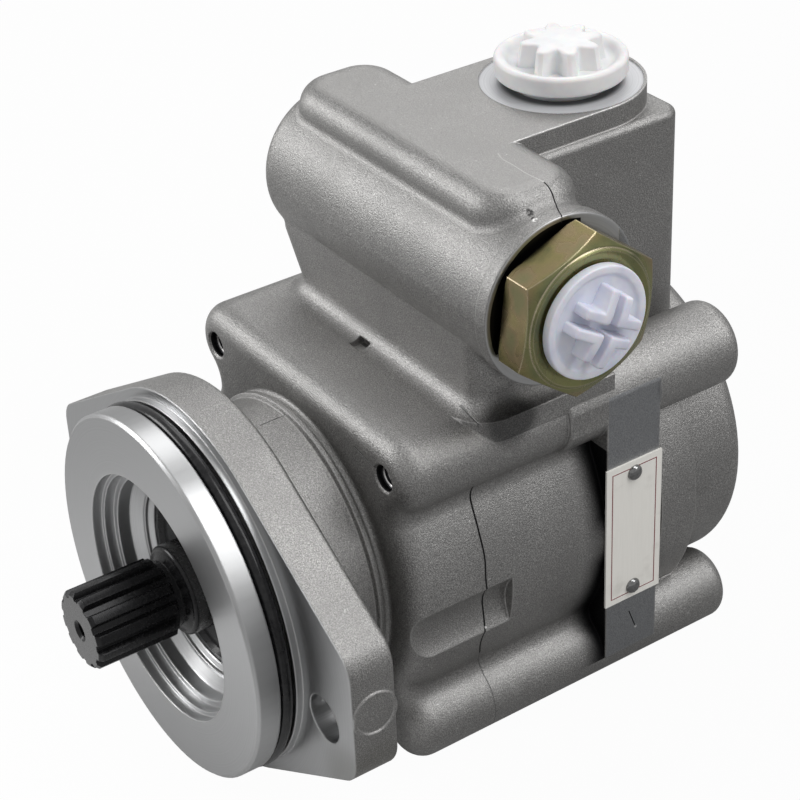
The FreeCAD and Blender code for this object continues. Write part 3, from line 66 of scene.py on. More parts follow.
# %% [markdown]
# ## Places that come back
# The finishes and the hand-made pieces need the same few axes of the casting.
# They are given once, in millimetres, in the frame of the CAD model: X points
# to the nameplate's side, Y to the rear and Z up, and the shaft's axis is Y.

# %% Shared places
PORT_Y = 120.7
VALVE_Y, VALVE_Z = 77.5, 81.5
TAP_X, TAP_Y, TAP_Z = 40.7, 42.3, 40.3
BOLT_AWAY, BOLT_TURN = 60.325, 6
print("inlet port at Y", PORT_Y, "and valve axis at Y, Z", (VALVE_Y, VALVE_Z))

# %% [markdown]
# ## Camera
# The camera's place was worked out from circles and straight edges that the
# photograph shows, such as the rim of the pilot and the nameplate's sides. A
# long lens gives the same weak perspective as the picture.

# %% Camera
bpy.ops.object.camera_add(
    location=(0.4079, -0.19845, 0.34077),
    rotation=[math.radians(angle) for angle in (57.2589, 2.4572, 55.5168)])
camera = bpy.context.object
camera.name = "camera"
camera.data.lens = 96.385
camera.data.sensor_width = 36
camera.data.shift_y = 0.0047
camera.data.clip_start = 0.01
bpy.context.scene.camera = camera
print("lens", camera.data.lens, "mm")

# %% [markdown]
# ## A small kit for finishes
# Every finish is a Principled shader fed by a few texture nodes. A mask is a
# share from 0 to 1, and masks are multiplied where both must hold, or the
# largest is taken where any will do.


# %% Finish kit
class Finish:
    """A material whose nodes are added one call at a time."""

    def __init__(self, name, **sockets):
        self.material = bpy.data.materials.new(name)
        self.material.use_nodes = True
        self.tree = self.material.node_tree
        self.shader = self.tree.nodes["Principled BSDF"]
        self.place = self.node("TexCoord").outputs["Object"]
        for socket, value in sockets.items():
            self.shader.inputs[socket.replace("_", " ")].default_value = value

    def node(self, kind, inputs=None, **settings):
        made = self.tree.nodes.new("ShaderNode" + kind)
        for key, value in settings.items():
            setattr(made, key, value)
        for key, value in (inputs or {}).items():
            self.feed(made.inputs[key], value)
        return made

    def feed(self, socket, value):
        if isinstance(value, bpy.types.NodeSocket):
            self.tree.links.new(value, socket)
        else:
            socket.default_value = value

    def set(self, socket, value):
        self.feed(self.shader.inputs[socket], value)

    def noise(self, size, detail=2.0, place=None, roughness=0.5):
        """Noise whose spots are about as wide as size, in metres."""
        return self.node("TexNoise", {
            "Vector": place or self.place, "Scale": 1 / size, "Detail": detail,
            "Roughness": roughness}).outputs["Fac"]

    def math(self, operation, a, b=0.0, c=0.0):
        made = self.node("Math", operation=operation)
        for socket, value in zip(made.inputs, (a, b, c)):
            self.feed(socket, value)
        return made.outputs[0]

    def times(self, made, *shares):
        """The product of shares: where all of them hold."""
        for share in shares:
            made = self.math("MULTIPLY", made, share)
        return made

    def most(self, made, *shares):
        """The largest of shares: where any of them holds."""
        for share in shares:
            made = self.math("MAXIMUM", made, share)
        return made

    def rest(self, share):
        """What a share leaves: where it doesn't hold."""
        return self.math("SUBTRACT", 1.0, share)

    def ramp(self, value, *stops):
        """A colour or grey for each share of value: (share, colour) pairs."""
        made = self.node("ValToRGB", {"Fac": value})
        points = made.color_ramp.elements
        while len(points) < len(stops):
            points.new(0.5)
        for point, (share, colour) in zip(points, stops):
            grey = not hasattr(colour, "__len__")
            point.position = share
            point.color = (colour, colour, colour, 1) if grey else (*colour, 1)
        return made.outputs["Color"]

    def mix(self, share, a, b):
        made = self.node("Mix", data_type="RGBA")
        for index, value in ((0, share), (6, a), (7, b)):
            if hasattr(value, "__len__"):
                value = (*value, 1)
            self.feed(made.inputs[index], value)
        return made.outputs[2]

    def between(self, value, low, high, out_low=0.0, out_high=1.0, kind="SMOOTHSTEP"):
        """Goes from out_low to out_high as value goes from low to high."""
        return self.node("MapRange", {
            "Value": value, "From Min": low, "From Max": high,
            "To Min": out_low, "To Max": out_high}, interpolation_type=kind).outputs["Result"]

    def vectors(self, operation, a, b):
        made = self.node("VectorMath", {0: a, 1: b}, operation=operation)
        return made.outputs["Value"]

    def axes(self):
        return self.node("SeparateXYZ", {"Vector": self.place}).outputs

    def bump(self, height, distance, strength=1.0, normal=None):
        inputs = {"Height": height, "Distance": distance, "Strength": strength}
        if normal is not None:
            inputs["Normal"] = normal
        return self.node("Bump", inputs).outputs["Normal"]

    def rounded(self, radius, samples=6):
        """A normal that rounds sharp edges over this radius."""
        return self.node("Bevel", {"Radius": radius}, samples=samples).outputs["Normal"]

    def facing(self, rounded_normal):
        """Nearly one on a flat place, and less where a rounded edge turns away."""
        true_normal = self.node("NewGeometry").outputs["Normal"]
        return self.vectors("DOT_PRODUCT", rounded_normal, true_normal)

    def from_axis(self, first, second, at):
        """Distance from a line square to two axes, through the point at."""
        sides = [self.math("SUBTRACT", axis, value) for axis, value in zip((first, second), at)]
        squares = [self.math("MULTIPLY", side, side) for side in sides]
        return self.math("SQRT", self.math("ADD", *squares))


print("finish kit ready")

# %% [markdown]
# ## Cast and machined aluminium
# The housing was cast, blasted with fine shot and then machined where it seals
# or locates: the pilot, the flange's front, the bores, the inlet's spot face,
# the strip under the nameplate and the end of the valve barrel. One material
# holds both finishes, and masks made from the place on the piece say where each
# one is.

# %% Where the housing is machined
cast = Finish("cast_aluminium")
x, y, z = cast.axes()
to_axis = cast.from_axis(x, z, (0, 0))
to_port = cast.from_axis(x, y, (0, PORT_Y * MM))
to_valve = cast.from_axis(y, z, (VALVE_Y * MM, VALVE_Z * MM))
MASK_FADE = 0.00006
SPOT_FACE_Z = 0.1072
VALVE_END_X = 0.0544
STRIP_FRONT_Y = 0.0953


def inside(*tests):
    """One where every (value, low, high) is between its limits, else zero."""
    steps = []
    for value, low, high in tests:
        if low is not None:
            steps.append(cast.between(value, low - MASK_FADE, low + MASK_FADE))
        if high is not None:
            steps.append(cast.between(value, high + MASK_FADE, high - MASK_FADE))
    return cast.times(*steps)


def bolt_hole(side):
    """The mask of one flange hole. Both lie on a line that is turned a little."""
    turn, away = math.radians(BOLT_TURN), BOLT_AWAY * MM * side
    middle = (math.cos(turn) * away, -math.sin(turn) * away)
    return inside((cast.from_axis(x, z, middle), None, 0.00675))


front_faces = inside((y, None, 0.00025))
front_bores = inside((to_axis, None, 0.0351), (y, None, 0.0279))
spot_face = inside((z, SPOT_FACE_Z, None), (to_port, None, 0.02165))
valve_end = inside((x, VALVE_END_X, None), (to_valve, None, 0.0226))
rear_bores = inside((y, 0.115, None), (to_axis, None, 0.04505))
side_strip = inside((x, 0.0517, None), (y, STRIP_FRONT_Y, 0.1126))
areas = [front_faces, front_bores, spot_face, valve_end, rear_bores, side_strip]
areas += [bolt_hole(side) for side in (-1, 1)]
machined = cast.most(*areas)
print("machined areas:", len(areas))

# %% [markdown]
# ## Cutting rings
# Cutting marks run round the axis of the tool, so each machined area measures
# its rings from its own axis: the shaft's, the port's or the valve's. A noise
# along that one distance makes rings of uneven depth.

# %% Cutting rings
RINGS_PER_METRE = 2600
ring_place = cast.between(spot_face, 0.0, 1.0, to_axis, to_port)
ring_place = cast.between(valve_end, 0.0, 1.0, ring_place, to_valve)
ring_count = cast.math("MULTIPLY", ring_place, RINGS_PER_METRE)
rings = cast.node("TexNoise", {"W": ring_count, "Scale": 1.0, "Detail": 2.0},
                  noise_dimensions="1D").outputs["Fac"]
print("rings about", 1 / RINGS_PER_METRE, "m wide")

# %% [markdown]
# ## Seams of the mould
# Two halves of the mould met in a plane across the barrel, and two more above
# the valve barrel. Each left a hair-thin seam that wanders a little. A curve
# gives the seam's place along its run, and the distance from it makes a line.
# A crack beside a tapped hole, one on the neck and a scratch come the same way.

# %% Lines that wander
CURVE_LOW, CURVE_SPAN = 40, 60


def wander(value, low, high, *places):
    """Passes through evenly spaced places, in millimetres, as value goes from low to high."""
    run = cast.node("MapRange", {"Value": value, "From Min": low, "From Max": high})
    made = cast.node("FloatCurve", {"Value": run.outputs["Result"]})
    points = made.mapping.curves[0].points
    while len(points) < len(places):
        points.new(0.5, 0.5)
    for index, (point, place) in enumerate(zip(points, places)):
        point.location = (index / (len(places) - 1), (place - CURVE_LOW) / CURVE_SPAN)
    made.mapping.update()
    return cast.math("MULTIPLY_ADD", made.outputs["Value"], CURVE_SPAN * MM, CURVE_LOW * MM)


def line(value, middle, half_width, *limits):
    """One on a line of this half width, between some limits, with soft sides."""
    away = cast.math("ABSOLUTE", cast.math("SUBTRACT", value, middle))
    return cast.times(cast.between(away, half_width * 1.6, half_width * 0.6), inside(*limits))


barrel_path = wander(
    z, -0.030, 0.032, 57.9, 56.5, 55.2, 56.7, 56.3, 55.6, 56.1, 56.0, 56.2, 56.8)
rib_path = wander(
    x, 0.0249, 0.0550, 81.6, 80.5, 80.5, 80.4, 80.3, 80.6, 81.4, 81.2, 79.2, 77.8)
hole_path = cast.math("MULTIPLY_ADD", x, -0.18, 0.04848)
neck_path = cast.math("MULTIPLY_ADD", cast.noise(0.0022), 0.0012, 0.0008)
scratch_path = cast.math("MULTIPLY_ADD", z, -0.367, 0.0930)
print("five paths")

# %% [markdown]
# ## Dark, faint and bright lines
# The barrel's seam, the rib's seam, the cracks and the scratch are nearly black.
# The seams on the lobe and on the deck were dressed and stay faint, and the top
# of the rib's seam caught the grinder, so that it is lighter than the skin.

# %% Seams and cracks
barrel_seam = line(y, barrel_path, 0.00021, (x, 0.036, None), (z, -0.0225, 0.0305))
rib_seam = line(y, rib_path, 0.00014, (x, 0.0438, 0.0550), (z, 0.1025, None))
hole_crack = line(z, hole_path, 0.00012, (x, 0.0282, 0.0372), (y, 0.020, 0.0336))
neck_crack = line(x, neck_path, 0.00011, (y, 0.0215, 0.0290), (z, 0.037, None))
scratch = line(y, scratch_path, 0.00016, (x, 0.0515, None), (z, -0.0337, -0.0277))
dark_lines = cast.most(barrel_seam, rib_seam, hole_crack, neck_crack, scratch)
lobe_seam = line(y, barrel_path, 0.00012, (x, 0.036, None), (z, -0.0500, -0.0225))
deck_seam = line(y, 0.0570, 0.00016, (x, 0.0405, 0.0487), (z, 0.0494, 0.0526))
faint_seams = cast.most(lobe_seam, deck_seam)
top_seam = line(y, rib_path, 0.00014, (x, 0.0249, 0.0438), (z, 0.1025, None))
print("five dark lines, two faint ones and a bright one")

# %% [markdown]
# ## Pits, painted glints, grime and painted shadow
# A casting is never even. A pit lies beside the valve barrel's end, a few spots
# get a painted glint as a highlight, grime stays in corners that no brush
# reaches, and a painted shadow lies on the foot under the fitting. Small balls
# mark such places, and a fine noise breaks up the edges of the pit and the glints.


# %% Spots
def spot(place, radius):
    """One inside a small ball round a place given in metres."""
    return cast.between(cast.vectors("DISTANCE", cast.place, place), radius, radius * 0.5)


crumbs = cast.noise(0.0007, 3)
pit = cast.most(spot((0.0481, 0.0736, 0.1036), 0.0013), spot((0.0500, 0.0731, 0.1034), 0.0009))
pit = cast.times(pit, cast.between(crumbs, 0.36, 0.56, 0.15, 0.85))
# Painted glints: highlights put into the colour of three spots.
glints = cast.most(
    spot((0.0497, 0.0565, -0.0120), 0.0005),
    spot((0.0518, 0.0723, 0.1037), 0.0009),
    spot((0.0521, 0.1056, -0.0342), 0.0006))
glints = cast.times(glints, cast.between(crumbs, 0.60, 0.42))
glints = cast.most(glints, cast.times(top_seam, 0.25))
# Painted shadow on the foot under the fitting's hexagon; ear_grime is the one soiled place.
foot_shade = cast.times(spot((0.0515, 0.0655, 0.0500), 0.0100), 0.7)
ear_grime = cast.times(spot((0.0720, 0.0065, -0.0220), 0.0180), 0.35)
print("a pit, three glints and two soiled places")

# %% [markdown]
# ## Corners and gaps
# The corner in front of the strip is painted nearly black as shade. Painted shade
# also lies under the inlet plug's disc, beside the fitting and in the mouths of the
# tapped holes, and the floor of the small notch in the deck is painted bright as
# light. The saddle between the rib and the port is painted lighter, as light falling
# on the top, with its grain half evened out. The rim of the top shelf gets the
# brightest painted edge highlight, and the foot's wing gets no edge highlight.

# %% Corners and gaps
tap_place = cast.from_axis(cast.math("ABSOLUTE", x), z, (TAP_X * MM, TAP_Z * MM))
# Painted shade: the corner in front of the strip is darkened to nearly black.
strip_corner_shade = cast.times(
    cast.between(y, 0.0865, 0.0945), cast.between(x, 0.0524, 0.0512),
    inside((y, None, STRIP_FRONT_Y), (x, 0.034, None), (z, -0.041, 0.0285)))
# Painted shade: under the inlet plug's disc, beside the fitting and in the mouths of the tapped
# holes.
disc_gap = cast.times(
    inside((z, SPOT_FACE_Z, None)), cast.between(to_port, 0.0150, 0.0174, 0.90, 0.0))
valve_gap = inside(
    (x, VALVE_END_X, None), (to_valve, None, 0.0213), (y, None, 0.0835), (z, 0.0735, None))
tap_mouth = inside((tap_place, None, 0.0036), (y, 0.0330, 0.0520))
# Painted light: the floor of the deck's notch is made nearly white.
notch_light = inside((x, -0.0037, 0.0013), (y, 0.0530, 0.0566), (z, 0.0486, 0.0497))
foot_wing = inside((x, 0.0440, 0.0560), (y, 0.0545, 0.0760), (z, 0.0465, 0.0540))
# Painted light: everything above this height is made lighter.
saddle_light = inside((z, 0.1074, None))
shelf_rim = inside((z, 0.1066, None), (x, 0.0040, None))
# The notch, the saddle and the shelf's rim carry painted light; the gaps and the strip's corner
# carry painted shade.
print("eight corners, gaps and dressed places")

# %% [markdown]
# ## Skin and cut faces
# Fine shot leaves a skin of tiny bright and dark dimples. Two noises of a third
# of a millimetre and less make it, and wide clouds change its tone a little.
# Cut faces are paler and even. Under the plug the spot face is the palest, and
# the strip that was milled for the nameplate is a darker blue-grey.

# %% Tone of the skin and of cut faces
grain = cast.noise(0.00035, 3)
flecks = cast.noise(0.00024, 1)
clouds = cast.noise(0.018, 3)
skin_tone = cast.math("ADD", cast.times(grain, 0.62), cast.times(flecks, 0.38))
skin = cast.ramp(skin_tone, (0.30, (0.16, 0.1575, 0.155)),
                 (0.50, (0.33, 0.325, 0.319)), (0.70, (0.62, 0.61, 0.597)))
skin = cast.mix(cast.between(clouds, 0.35, 0.7, 0.0, 0.35), skin, (0.25, 0.247, 0.242))
# Painted light: the top above the saddle is lighter, with its grain half evened out.
skin = cast.mix(saddle_light, skin, cast.mix(0.5, skin, (0.40, 0.393, 0.385)))
turned = cast.ramp(rings, (0.3, (0.47, 0.474, 0.478)), (0.7, (0.53, 0.534, 0.538)))
spot_turned = cast.ramp(rings, (0.3, (0.57, 0.575, 0.59)), (0.7, (0.64, 0.645, 0.66)))
milled = cast.ramp(grain, (0.3, (0.25, 0.255, 0.265)), (0.7, (0.37, 0.378, 0.39)))
turned = cast.mix(spot_face, turned, spot_turned)
turned = cast.mix(side_strip, turned, milled)
tone = cast.mix(machined, skin, turned)
print("skin and cut faces have", len(cast.tree.nodes), "nodes so far")

# %% [markdown]
# ## Wear, painted light and painted shade over the tone
# A Bevel node rounds the shading of the sharp edges, and the difference that it
# makes also tells where an edge is, so that it can be brighter: a painted
# highlight, and also rubbed metal. Then every mark is laid over the tone, one
# after another, and the last one wins where two meet.

# %% Edges, nicks and marks
# SHADE is the colour of painted shade; the near black serves seams, cracks and the pit, and the
# painted shade in the strip's corner.
SHADE = (0.02, 0.02, 0.021)
SEAM_AND_SHADE_BLACK = (0.012, 0.012, 0.013)
edge_normal = cast.rounded(0.0007)
edges = cast.between(cast.facing(edge_normal), 0.995, 0.90)
# The edge of the foot's wing gets no painted highlight.
edges = cast.times(edges, cast.rest(foot_wing))
# Painted highlight: the edges on the shelf's rim are the brightest.
rim_highlight = cast.times(shelf_rim, cast.between(crumbs, 0.35, 0.55, 0.9, 0.4))
nicks = cast.between(cast.noise(0.0013, 4, roughness=0.7), 0.665, 0.70, 0.0, 0.5)
nicks = cast.times(nicks, cast.rest(machined))
# Among the marks, the edge highlights, the notch's light and the glints are painted light, and
# the gaps, the area under the fitting and the strip's corner are painted shade.
marks = (
    (cast.times(edges, 0.40), (0.72, 0.71, 0.70)),
    (cast.times(edges, rim_highlight), (0.96, 0.95, 0.94)),
    (notch_light, (0.97, 0.96, 0.94)),
    (ear_grime, (0.15, 0.145, 0.12)),
    (nicks, (0.80, 0.79, 0.78)),
    (valve_gap, SHADE),
    (tap_mouth, SHADE),
    (foot_shade, SHADE),
    (disc_gap, SHADE),
    (cast.times(faint_seams, 0.45), (0.12, 0.12, 0.12)),
    (strip_corner_shade, SEAM_AND_SHADE_BLACK),
    (cast.most(dark_lines, pit), SEAM_AND_SHADE_BLACK),
    (glints, (0.90, 0.89, 0.88)),
)
for share, colour in marks:
    tone = cast.mix(share, tone, colour)
cast.set("Base Color", tone)
print(len(marks), "marks over the tone")

# %% [markdown]
# ## Gloss and relief
# Blasted skin is rougher than a cut face. The spot face is dulled by sealant, so
# it is less like a mirror. Dimples, cutting rings and seams are too small to
# model and come as bump, one over another.

# %% Gloss and relief of the casting
skin_rough = cast.ramp(grain, (0.3, 0.38), (0.7, 0.52))
cut_rough = cast.ramp(rings, (0.3, 0.30), (0.7, 0.38))
rough = cast.mix(machined, skin_rough, cut_rough)
dull = cast.most(spot_face, side_strip)
cast.set("Roughness", cast.mix(dull, rough, (0.46, 0.46, 0.46)))
bright_metal = cast.between(machined, 0.0, 1.0, 0.96, 1.0)
cast.set("Metallic", cast.between(spot_face, 0.0, 1.0, bright_metal, 0.35))
turned_share = cast.math("SUBTRACT", machined, side_strip)
blasted = cast.bump(cast.times(cast.rest(turned_share), grain), 0.00020, 0.75, edge_normal)
cut = cast.bump(cast.times(turned_share, rings), 0.00001, 0.2, blasted)
level_skin = cast.rest(cast.most(dark_lines, faint_seams, pit))
cast.set("Normal", cast.bump(level_skin, 0.0003, 0.7, cut))
print("cast aluminium has", len(cast.tree.nodes), "nodes")


# %% [markdown]
# ## Plain metals
# Inside and behind are steel, iron and bronze pieces. One function gives them
# their own colour, a fine grain, and small changes of tone and roughness.

# %% Metals by one function
def metal(name, dark, light, roughness, grain_size=0.0006, depth=0.00001):
    """A metal between two tones, greys or colours, with grain and wide smears."""
    made = Finish(name, Metallic=1.0)
    spots = made.noise(grain_size, 3)
    smears = made.noise(grain_size * 18)
    mixed = made.math("ADD", made.times(spots, 0.6), made.times(smears, 0.4))
    made.set("Base Color", made.ramp(mixed, (0.35, dark), (0.65, light)))
    made.set("Roughness", made.ramp(mixed, (0.3, roughness * 0.8), (0.7, roughness * 1.2)))
    made.set("Normal", made.bump(spots, depth, 0.4))
    return made.material


finishes = {
    "cast_aluminium": cast.material,
    "seal_steel": metal("seal_steel", 0.20, 0.34, 0.35),
    "screw_steel": metal("screw_steel", 0.20, 0.32, 0.14),
    "bearing_steel": metal("bearing_steel", 0.48, 0.60, 0.15),
    "spring_steel": metal("spring_steel", (0.13, 0.13, 0.135), (0.22, 0.22, 0.23), 0.35),
    "sintered_iron": metal("sintered_iron", (0.24, 0.235, 0.23), (0.36, 0.35, 0.34), 0.5,
                           grain_size=0.0003, depth=0.00004),
    "bronze": metal("bronze", (0.50, 0.34, 0.17), (0.66, 0.47, 0.25), 0.35),
    "cover_steel": metal("cover_steel", 0.30, 0.44, 0.38),
}
print(len(finishes), "metals")

# %% [markdown]
# ## Black-oxide shaft
# The spline is nearly black with soft highlights along the teeth. Its end face
# and the track of the seal were ground after blacking, so they are a dark grey
# that shines more like bare metal.

# %% Shaft finish
shaft = Finish("shaft_steel")
along = shaft.axes()[1]
end_face = shaft.between(along, -0.0352, -0.03525)
seal_track = shaft.between(along, -0.0075, -0.0072)
bare = shaft.most(end_face, seal_track)
oxide = shaft.noise(0.0008, 3)
black = shaft.ramp(oxide, (0.3, (0.012, 0.012, 0.013)), (0.7, (0.022, 0.022, 0.023)))
ground = shaft.ramp(oxide, (0.3, 0.08), (0.7, 0.12))
shaft.set("Base Color", shaft.mix(bare, black, ground))
shaft.set("Roughness", shaft.ramp(oxide, (0.3, 0.20), (0.7, 0.30)))
shaft.set("Metallic", shaft.between(bare, 0.0, 1.0, 0.55, 0.95))
shaft.set("Normal", shaft.bump(oxide, 0.00002, 0.4, shaft.rounded(0.0003, 4)))
finishes["shaft_steel"] = shaft.material
print("shaft finish ready")

# %% [markdown]
# ## Yellow zinc
# The outlet fitting is plated and passivated: brass-yellow with green and pink
# tints that change slowly over the surface, and fine speckle on the flats. The
# turned ring at its end is greener, and the edges are pale: worn plating and a
# painted highlight.

# %% Yellow zinc finish
zinc = Finish("yellow_zinc", Metallic=1.0)
tint = zinc.noise(0.009)
speck = zinc.noise(0.0005, 3)
film = zinc.ramp(
    tint, (0.34, (0.235, 0.225, 0.105)), (0.45, (0.33, 0.285, 0.13)),
    (0.56, (0.34, 0.265, 0.15)), (0.68, (0.27, 0.255, 0.135)))
olive = zinc.ramp(tint, (0.38, (0.22, 0.245, 0.125)), (0.62, (0.31, 0.32, 0.14)))
end_ring = zinc.between(zinc.axes()[0], 0.0650, 0.0662, 0.0, 0.8)
film = zinc.mix(end_ring, film, olive)
film = zinc.mix(zinc.between(speck, 0.30, 0.46, 0.18, 0.0), film, (0.13, 0.105, 0.045))
zinc_normal = zinc.rounded(0.0005)
# Painted highlight and wear: the edges are made pale.
zinc_edges = zinc.between(zinc.facing(zinc_normal), 0.995, 0.92, 0.0, 0.65)
zinc.set("Base Color", zinc.mix(zinc_edges, film, (0.78, 0.66, 0.50)))
zinc.set("Roughness", zinc.ramp(tint, (0.3, 0.20), (0.7, 0.32)))
zinc.set("Normal", zinc.bump(speck, 0.00002, 0.12, zinc_normal))
finishes["yellow_zinc"] = zinc.material
print("zinc finish ready")

# %% [markdown]
# ## Rubber and moulded plastic
# Rubber is black with a soft sheen. The shipping plugs are white polyethylene:
# slightly waxy, a little uneven in tone, and letting some light in.

# %% Rubber and plastic finishes
rubber = Finish("seal_rubber", Specular_IOR_Level=0.35)
dust = rubber.noise(0.0015, 3)
rubber.set("Base Color", rubber.ramp(
    dust, (0.35, (0.008, 0.008, 0.009)), (0.75, (0.022, 0.022, 0.023))))
rubber.set("Roughness", rubber.ramp(dust, (0.3, 0.16), (0.7, 0.26)))
rubber.set("Normal", rubber.bump(dust, 0.00002, 0.3))
finishes["seal_rubber"] = rubber.material


def plastic(name, dark, light):
    """Waxy moulded plastic between two tones."""
    made = Finish(name, Subsurface_Weight=0.25, Subsurface_Scale=0.002)
    patches = made.noise(0.006)
    fine = made.noise(0.0007)
    made.set("Base Color", made.ramp(patches, (0.35, dark), (0.65, light)))
    made.set("Roughness", made.ramp(fine, (0.3, 0.36), (0.7, 0.50)))
    made.set("Normal", made.bump(fine, 0.00003, 0.35))
    return made.material


finishes["cap_plastic"] = plastic("cap_plastic", (0.66, 0.68, 0.80), (0.78, 0.79, 0.86))
finishes["plug_plastic"] = plastic("plug_plastic", (0.72, 0.72, 0.735), (0.79, 0.79, 0.785))
print("rubber and two plastics ready")

# %% [markdown]
# ## Plate and border
# The nameplate is lacquered sheet, warm white with brushed streaks along Z and
# a few stains. Its border line is dark red enamel.

# %% Plate and border finishes
plate_paint = Finish("plate_metal", Metallic=0.05)
stretched = plate_paint.node("Mapping", {"Vector": plate_paint.place, "Scale": (1, 1, 0.05)})
brushed = plate_paint.noise(0.0004, place=stretched.outputs["Vector"])
stains = plate_paint.noise(0.007, 4)
plate_tone = plate_paint.ramp(brushed, (0.3, (0.87, 0.85, 0.80)), (0.7, (0.90, 0.88, 0.83)))
stain_share = plate_paint.between(stains, 0.55, 0.8, 0.0, 0.25)
plate_paint.set("Base Color", plate_paint.mix(stain_share, plate_tone, (0.34, 0.32, 0.28)))
plate_paint.set("Roughness", plate_paint.ramp(stains, (0.3, 0.30), (0.7, 0.5)))
plate_paint.set("Normal", plate_paint.bump(brushed, 0.00001, 0.1))
finishes["plate_metal"] = plate_paint.material

border = Finish("border_enamel")
grime = border.noise(0.0008)
border.set("Base Color", border.ramp(
    grime, (0.3, (0.16, 0.018, 0.03)), (0.7, (0.24, 0.03, 0.045))))
border.set("Roughness", border.ramp(grime, (0.3, 0.35), (0.7, 0.5)))
print("plate and border ready")

# %% [markdown]
# ## Finishes on the CAD nodes
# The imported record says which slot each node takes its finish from, so the
# right material goes on every node by that name.


# %% Put the finishes on
def slot_of(node):
    """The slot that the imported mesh's own material is named for."""
    names = [material.name.split(".")[0] for material in node.data.materials if material]
    return next((name for name in names if name in finishes), None)


finished = 0
for node in nodes.values():
    slot = slot_of(node)
    if slot:
        node.data.materials[0] = finishes[slot]
        finished += 1
print("finishes on", finished, "nodes")

# %% [markdown]
# ## Tools for modelling by hand
# New pieces start as a primitive and are shaped in edit mode. An operator acts
# on all that is selected, so these helpers clear the selection, pick faces or
# vertices by a test on their place, and settle a finished piece at the origin.


# %% Selecting
def clear():
    """Go to object mode with nothing selected."""
    if bpy.context.object and bpy.context.object.mode != "OBJECT":
        bpy.ops.object.mode_set(mode="OBJECT")
    bpy.ops.object.select_all(action="DESELECT")


def select(*pieces):
    """Go to object mode with only these pieces selected and the first one active."""
    clear()
    for piece in pieces:
        piece.select_set(True)
    bpy.context.view_layer.objects.active = pieces[0]


def choose(obj, test, kind="FACE"):
    """Go to edit mode with only the faces, edges or vertices selected that pass the test."""
    bpy.ops.object.mode_set(mode="EDIT")
    bpy.ops.mesh.select_mode(type=kind)
    bpy.ops.mesh.select_all(action="DESELECT")
    bpy.ops.object.mode_set(mode="OBJECT")
    mesh = obj.data
    for item in {"FACE": mesh.polygons, "EDGE": mesh.edges, "VERT": mesh.vertices}[kind]:
        item.select = bool(test(item))
    bpy.ops.object.mode_set(mode="EDIT")


print("selecting ready")


# %% Shaping
def push(x, y, z):
    """Extrude the selected faces by this many millimetres."""
    bpy.ops.mesh.extrude_region_move(TRANSFORM_OT_translate={"value": (x * MM, y * MM, z * MM)})


def inset(thickness, depth=0.0):
    bpy.ops.mesh.inset(thickness=thickness * MM, depth=depth * MM)


def freeze():
    """Put the selected piece's place, turn and scale into its mesh."""
    bpy.ops.object.transform_apply(location=True, rotation=True, scale=True)


def soften(obj, width, segments=3, angle=35):
    """Round the edges that are sharper than this angle."""
    select(obj)
    made = obj.modifiers.new("round_edges", "BEVEL")
    made.width = width * MM
    made.segments = segments
    made.limit_method = "ANGLE"
    made.angle_limit = math.radians(angle)
    made.use_clamp_overlap = True
    bpy.ops.object.modifier_apply(modifier=made.name)


def combine(obj, other, operation="UNION"):
    """Join one solid with another, or keep what both share, and remove the other."""
    select(obj)
    made = obj.modifiers.new("combine", "BOOLEAN")
    made.operation = operation
    made.solver = "EXACT"
    made.object = other
    bpy.ops.object.modifier_apply(modifier=made.name)
    bpy.data.objects.remove(other)


print("shaping ready")


# %% Finishing a piece
def settle(obj, place=(0, 0, 0), turns=()):
    """Turn about one axis after another, move, and leave the object at the origin."""
    select(obj)
    for axis, degrees in turns:
        obj.rotation_euler["XYZ".index(axis)] = math.radians(degrees)
        freeze()
    obj.location = [value * MM for value in place]
    freeze()


def finish_piece(obj, name, slot, body="housing_body", stands_for=(), smooth=35):
    """Name the piece, give it its finish, and let it ride on its body."""
    select(obj)
    bpy.ops.object.shade_smooth_by_angle(angle=math.radians(smooth))
    obj.name = name
    if not obj.data.materials:
        obj.data.materials.append(finishes[slot])
    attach(obj, body)
    if stands_for:
        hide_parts(*stands_for)
    print(name, len(obj.data.polygons), "faces")


print("finishing ready")

# %% [markdown]
# ## Outlet fitting
# The fitting that closes the flow valve's bore is a turned piece with a hexagon.
# Its profile is drawn as one edge after another and spun round. A six-sided
# prism is cut by a turned cone, which gives its flats the curved front edges of
# a real chamfer, and then both are joined.


# %% Turned pieces
def turned_piece(profile, steps=128):
    """Spin a closed run of (radius, height) points in millimetres round Z."""
    clear()
    bpy.ops.mesh.primitive_plane_add(size=1, location=(0, 0, 0))
    made = bpy.context.object
    choose(made, lambda point: True, "VERT")
    bpy.ops.mesh.merge(type="CENTER")
    first_radius, first_height = profile[0]
    bpy.ops.transform.translate(value=(first_radius * MM, 0, first_height * MM))
    for (radius, height), (last_radius, last_height) in zip(profile[1:], profile):
        push(radius - last_radius, 0, height - last_height)
    bpy.ops.mesh.select_all(action="SELECT")
    bpy.ops.mesh.spin(steps=steps, angle=math.tau, center=(0, 0, 0), axis=(0, 0, 1))
    bpy.ops.mesh.select_all(action="SELECT")
    bpy.ops.mesh.remove_doubles(threshold=0.00001)
    bpy.ops.mesh.normals_make_consistent(inside=False)
    clear()
    return made


print("turning ready")

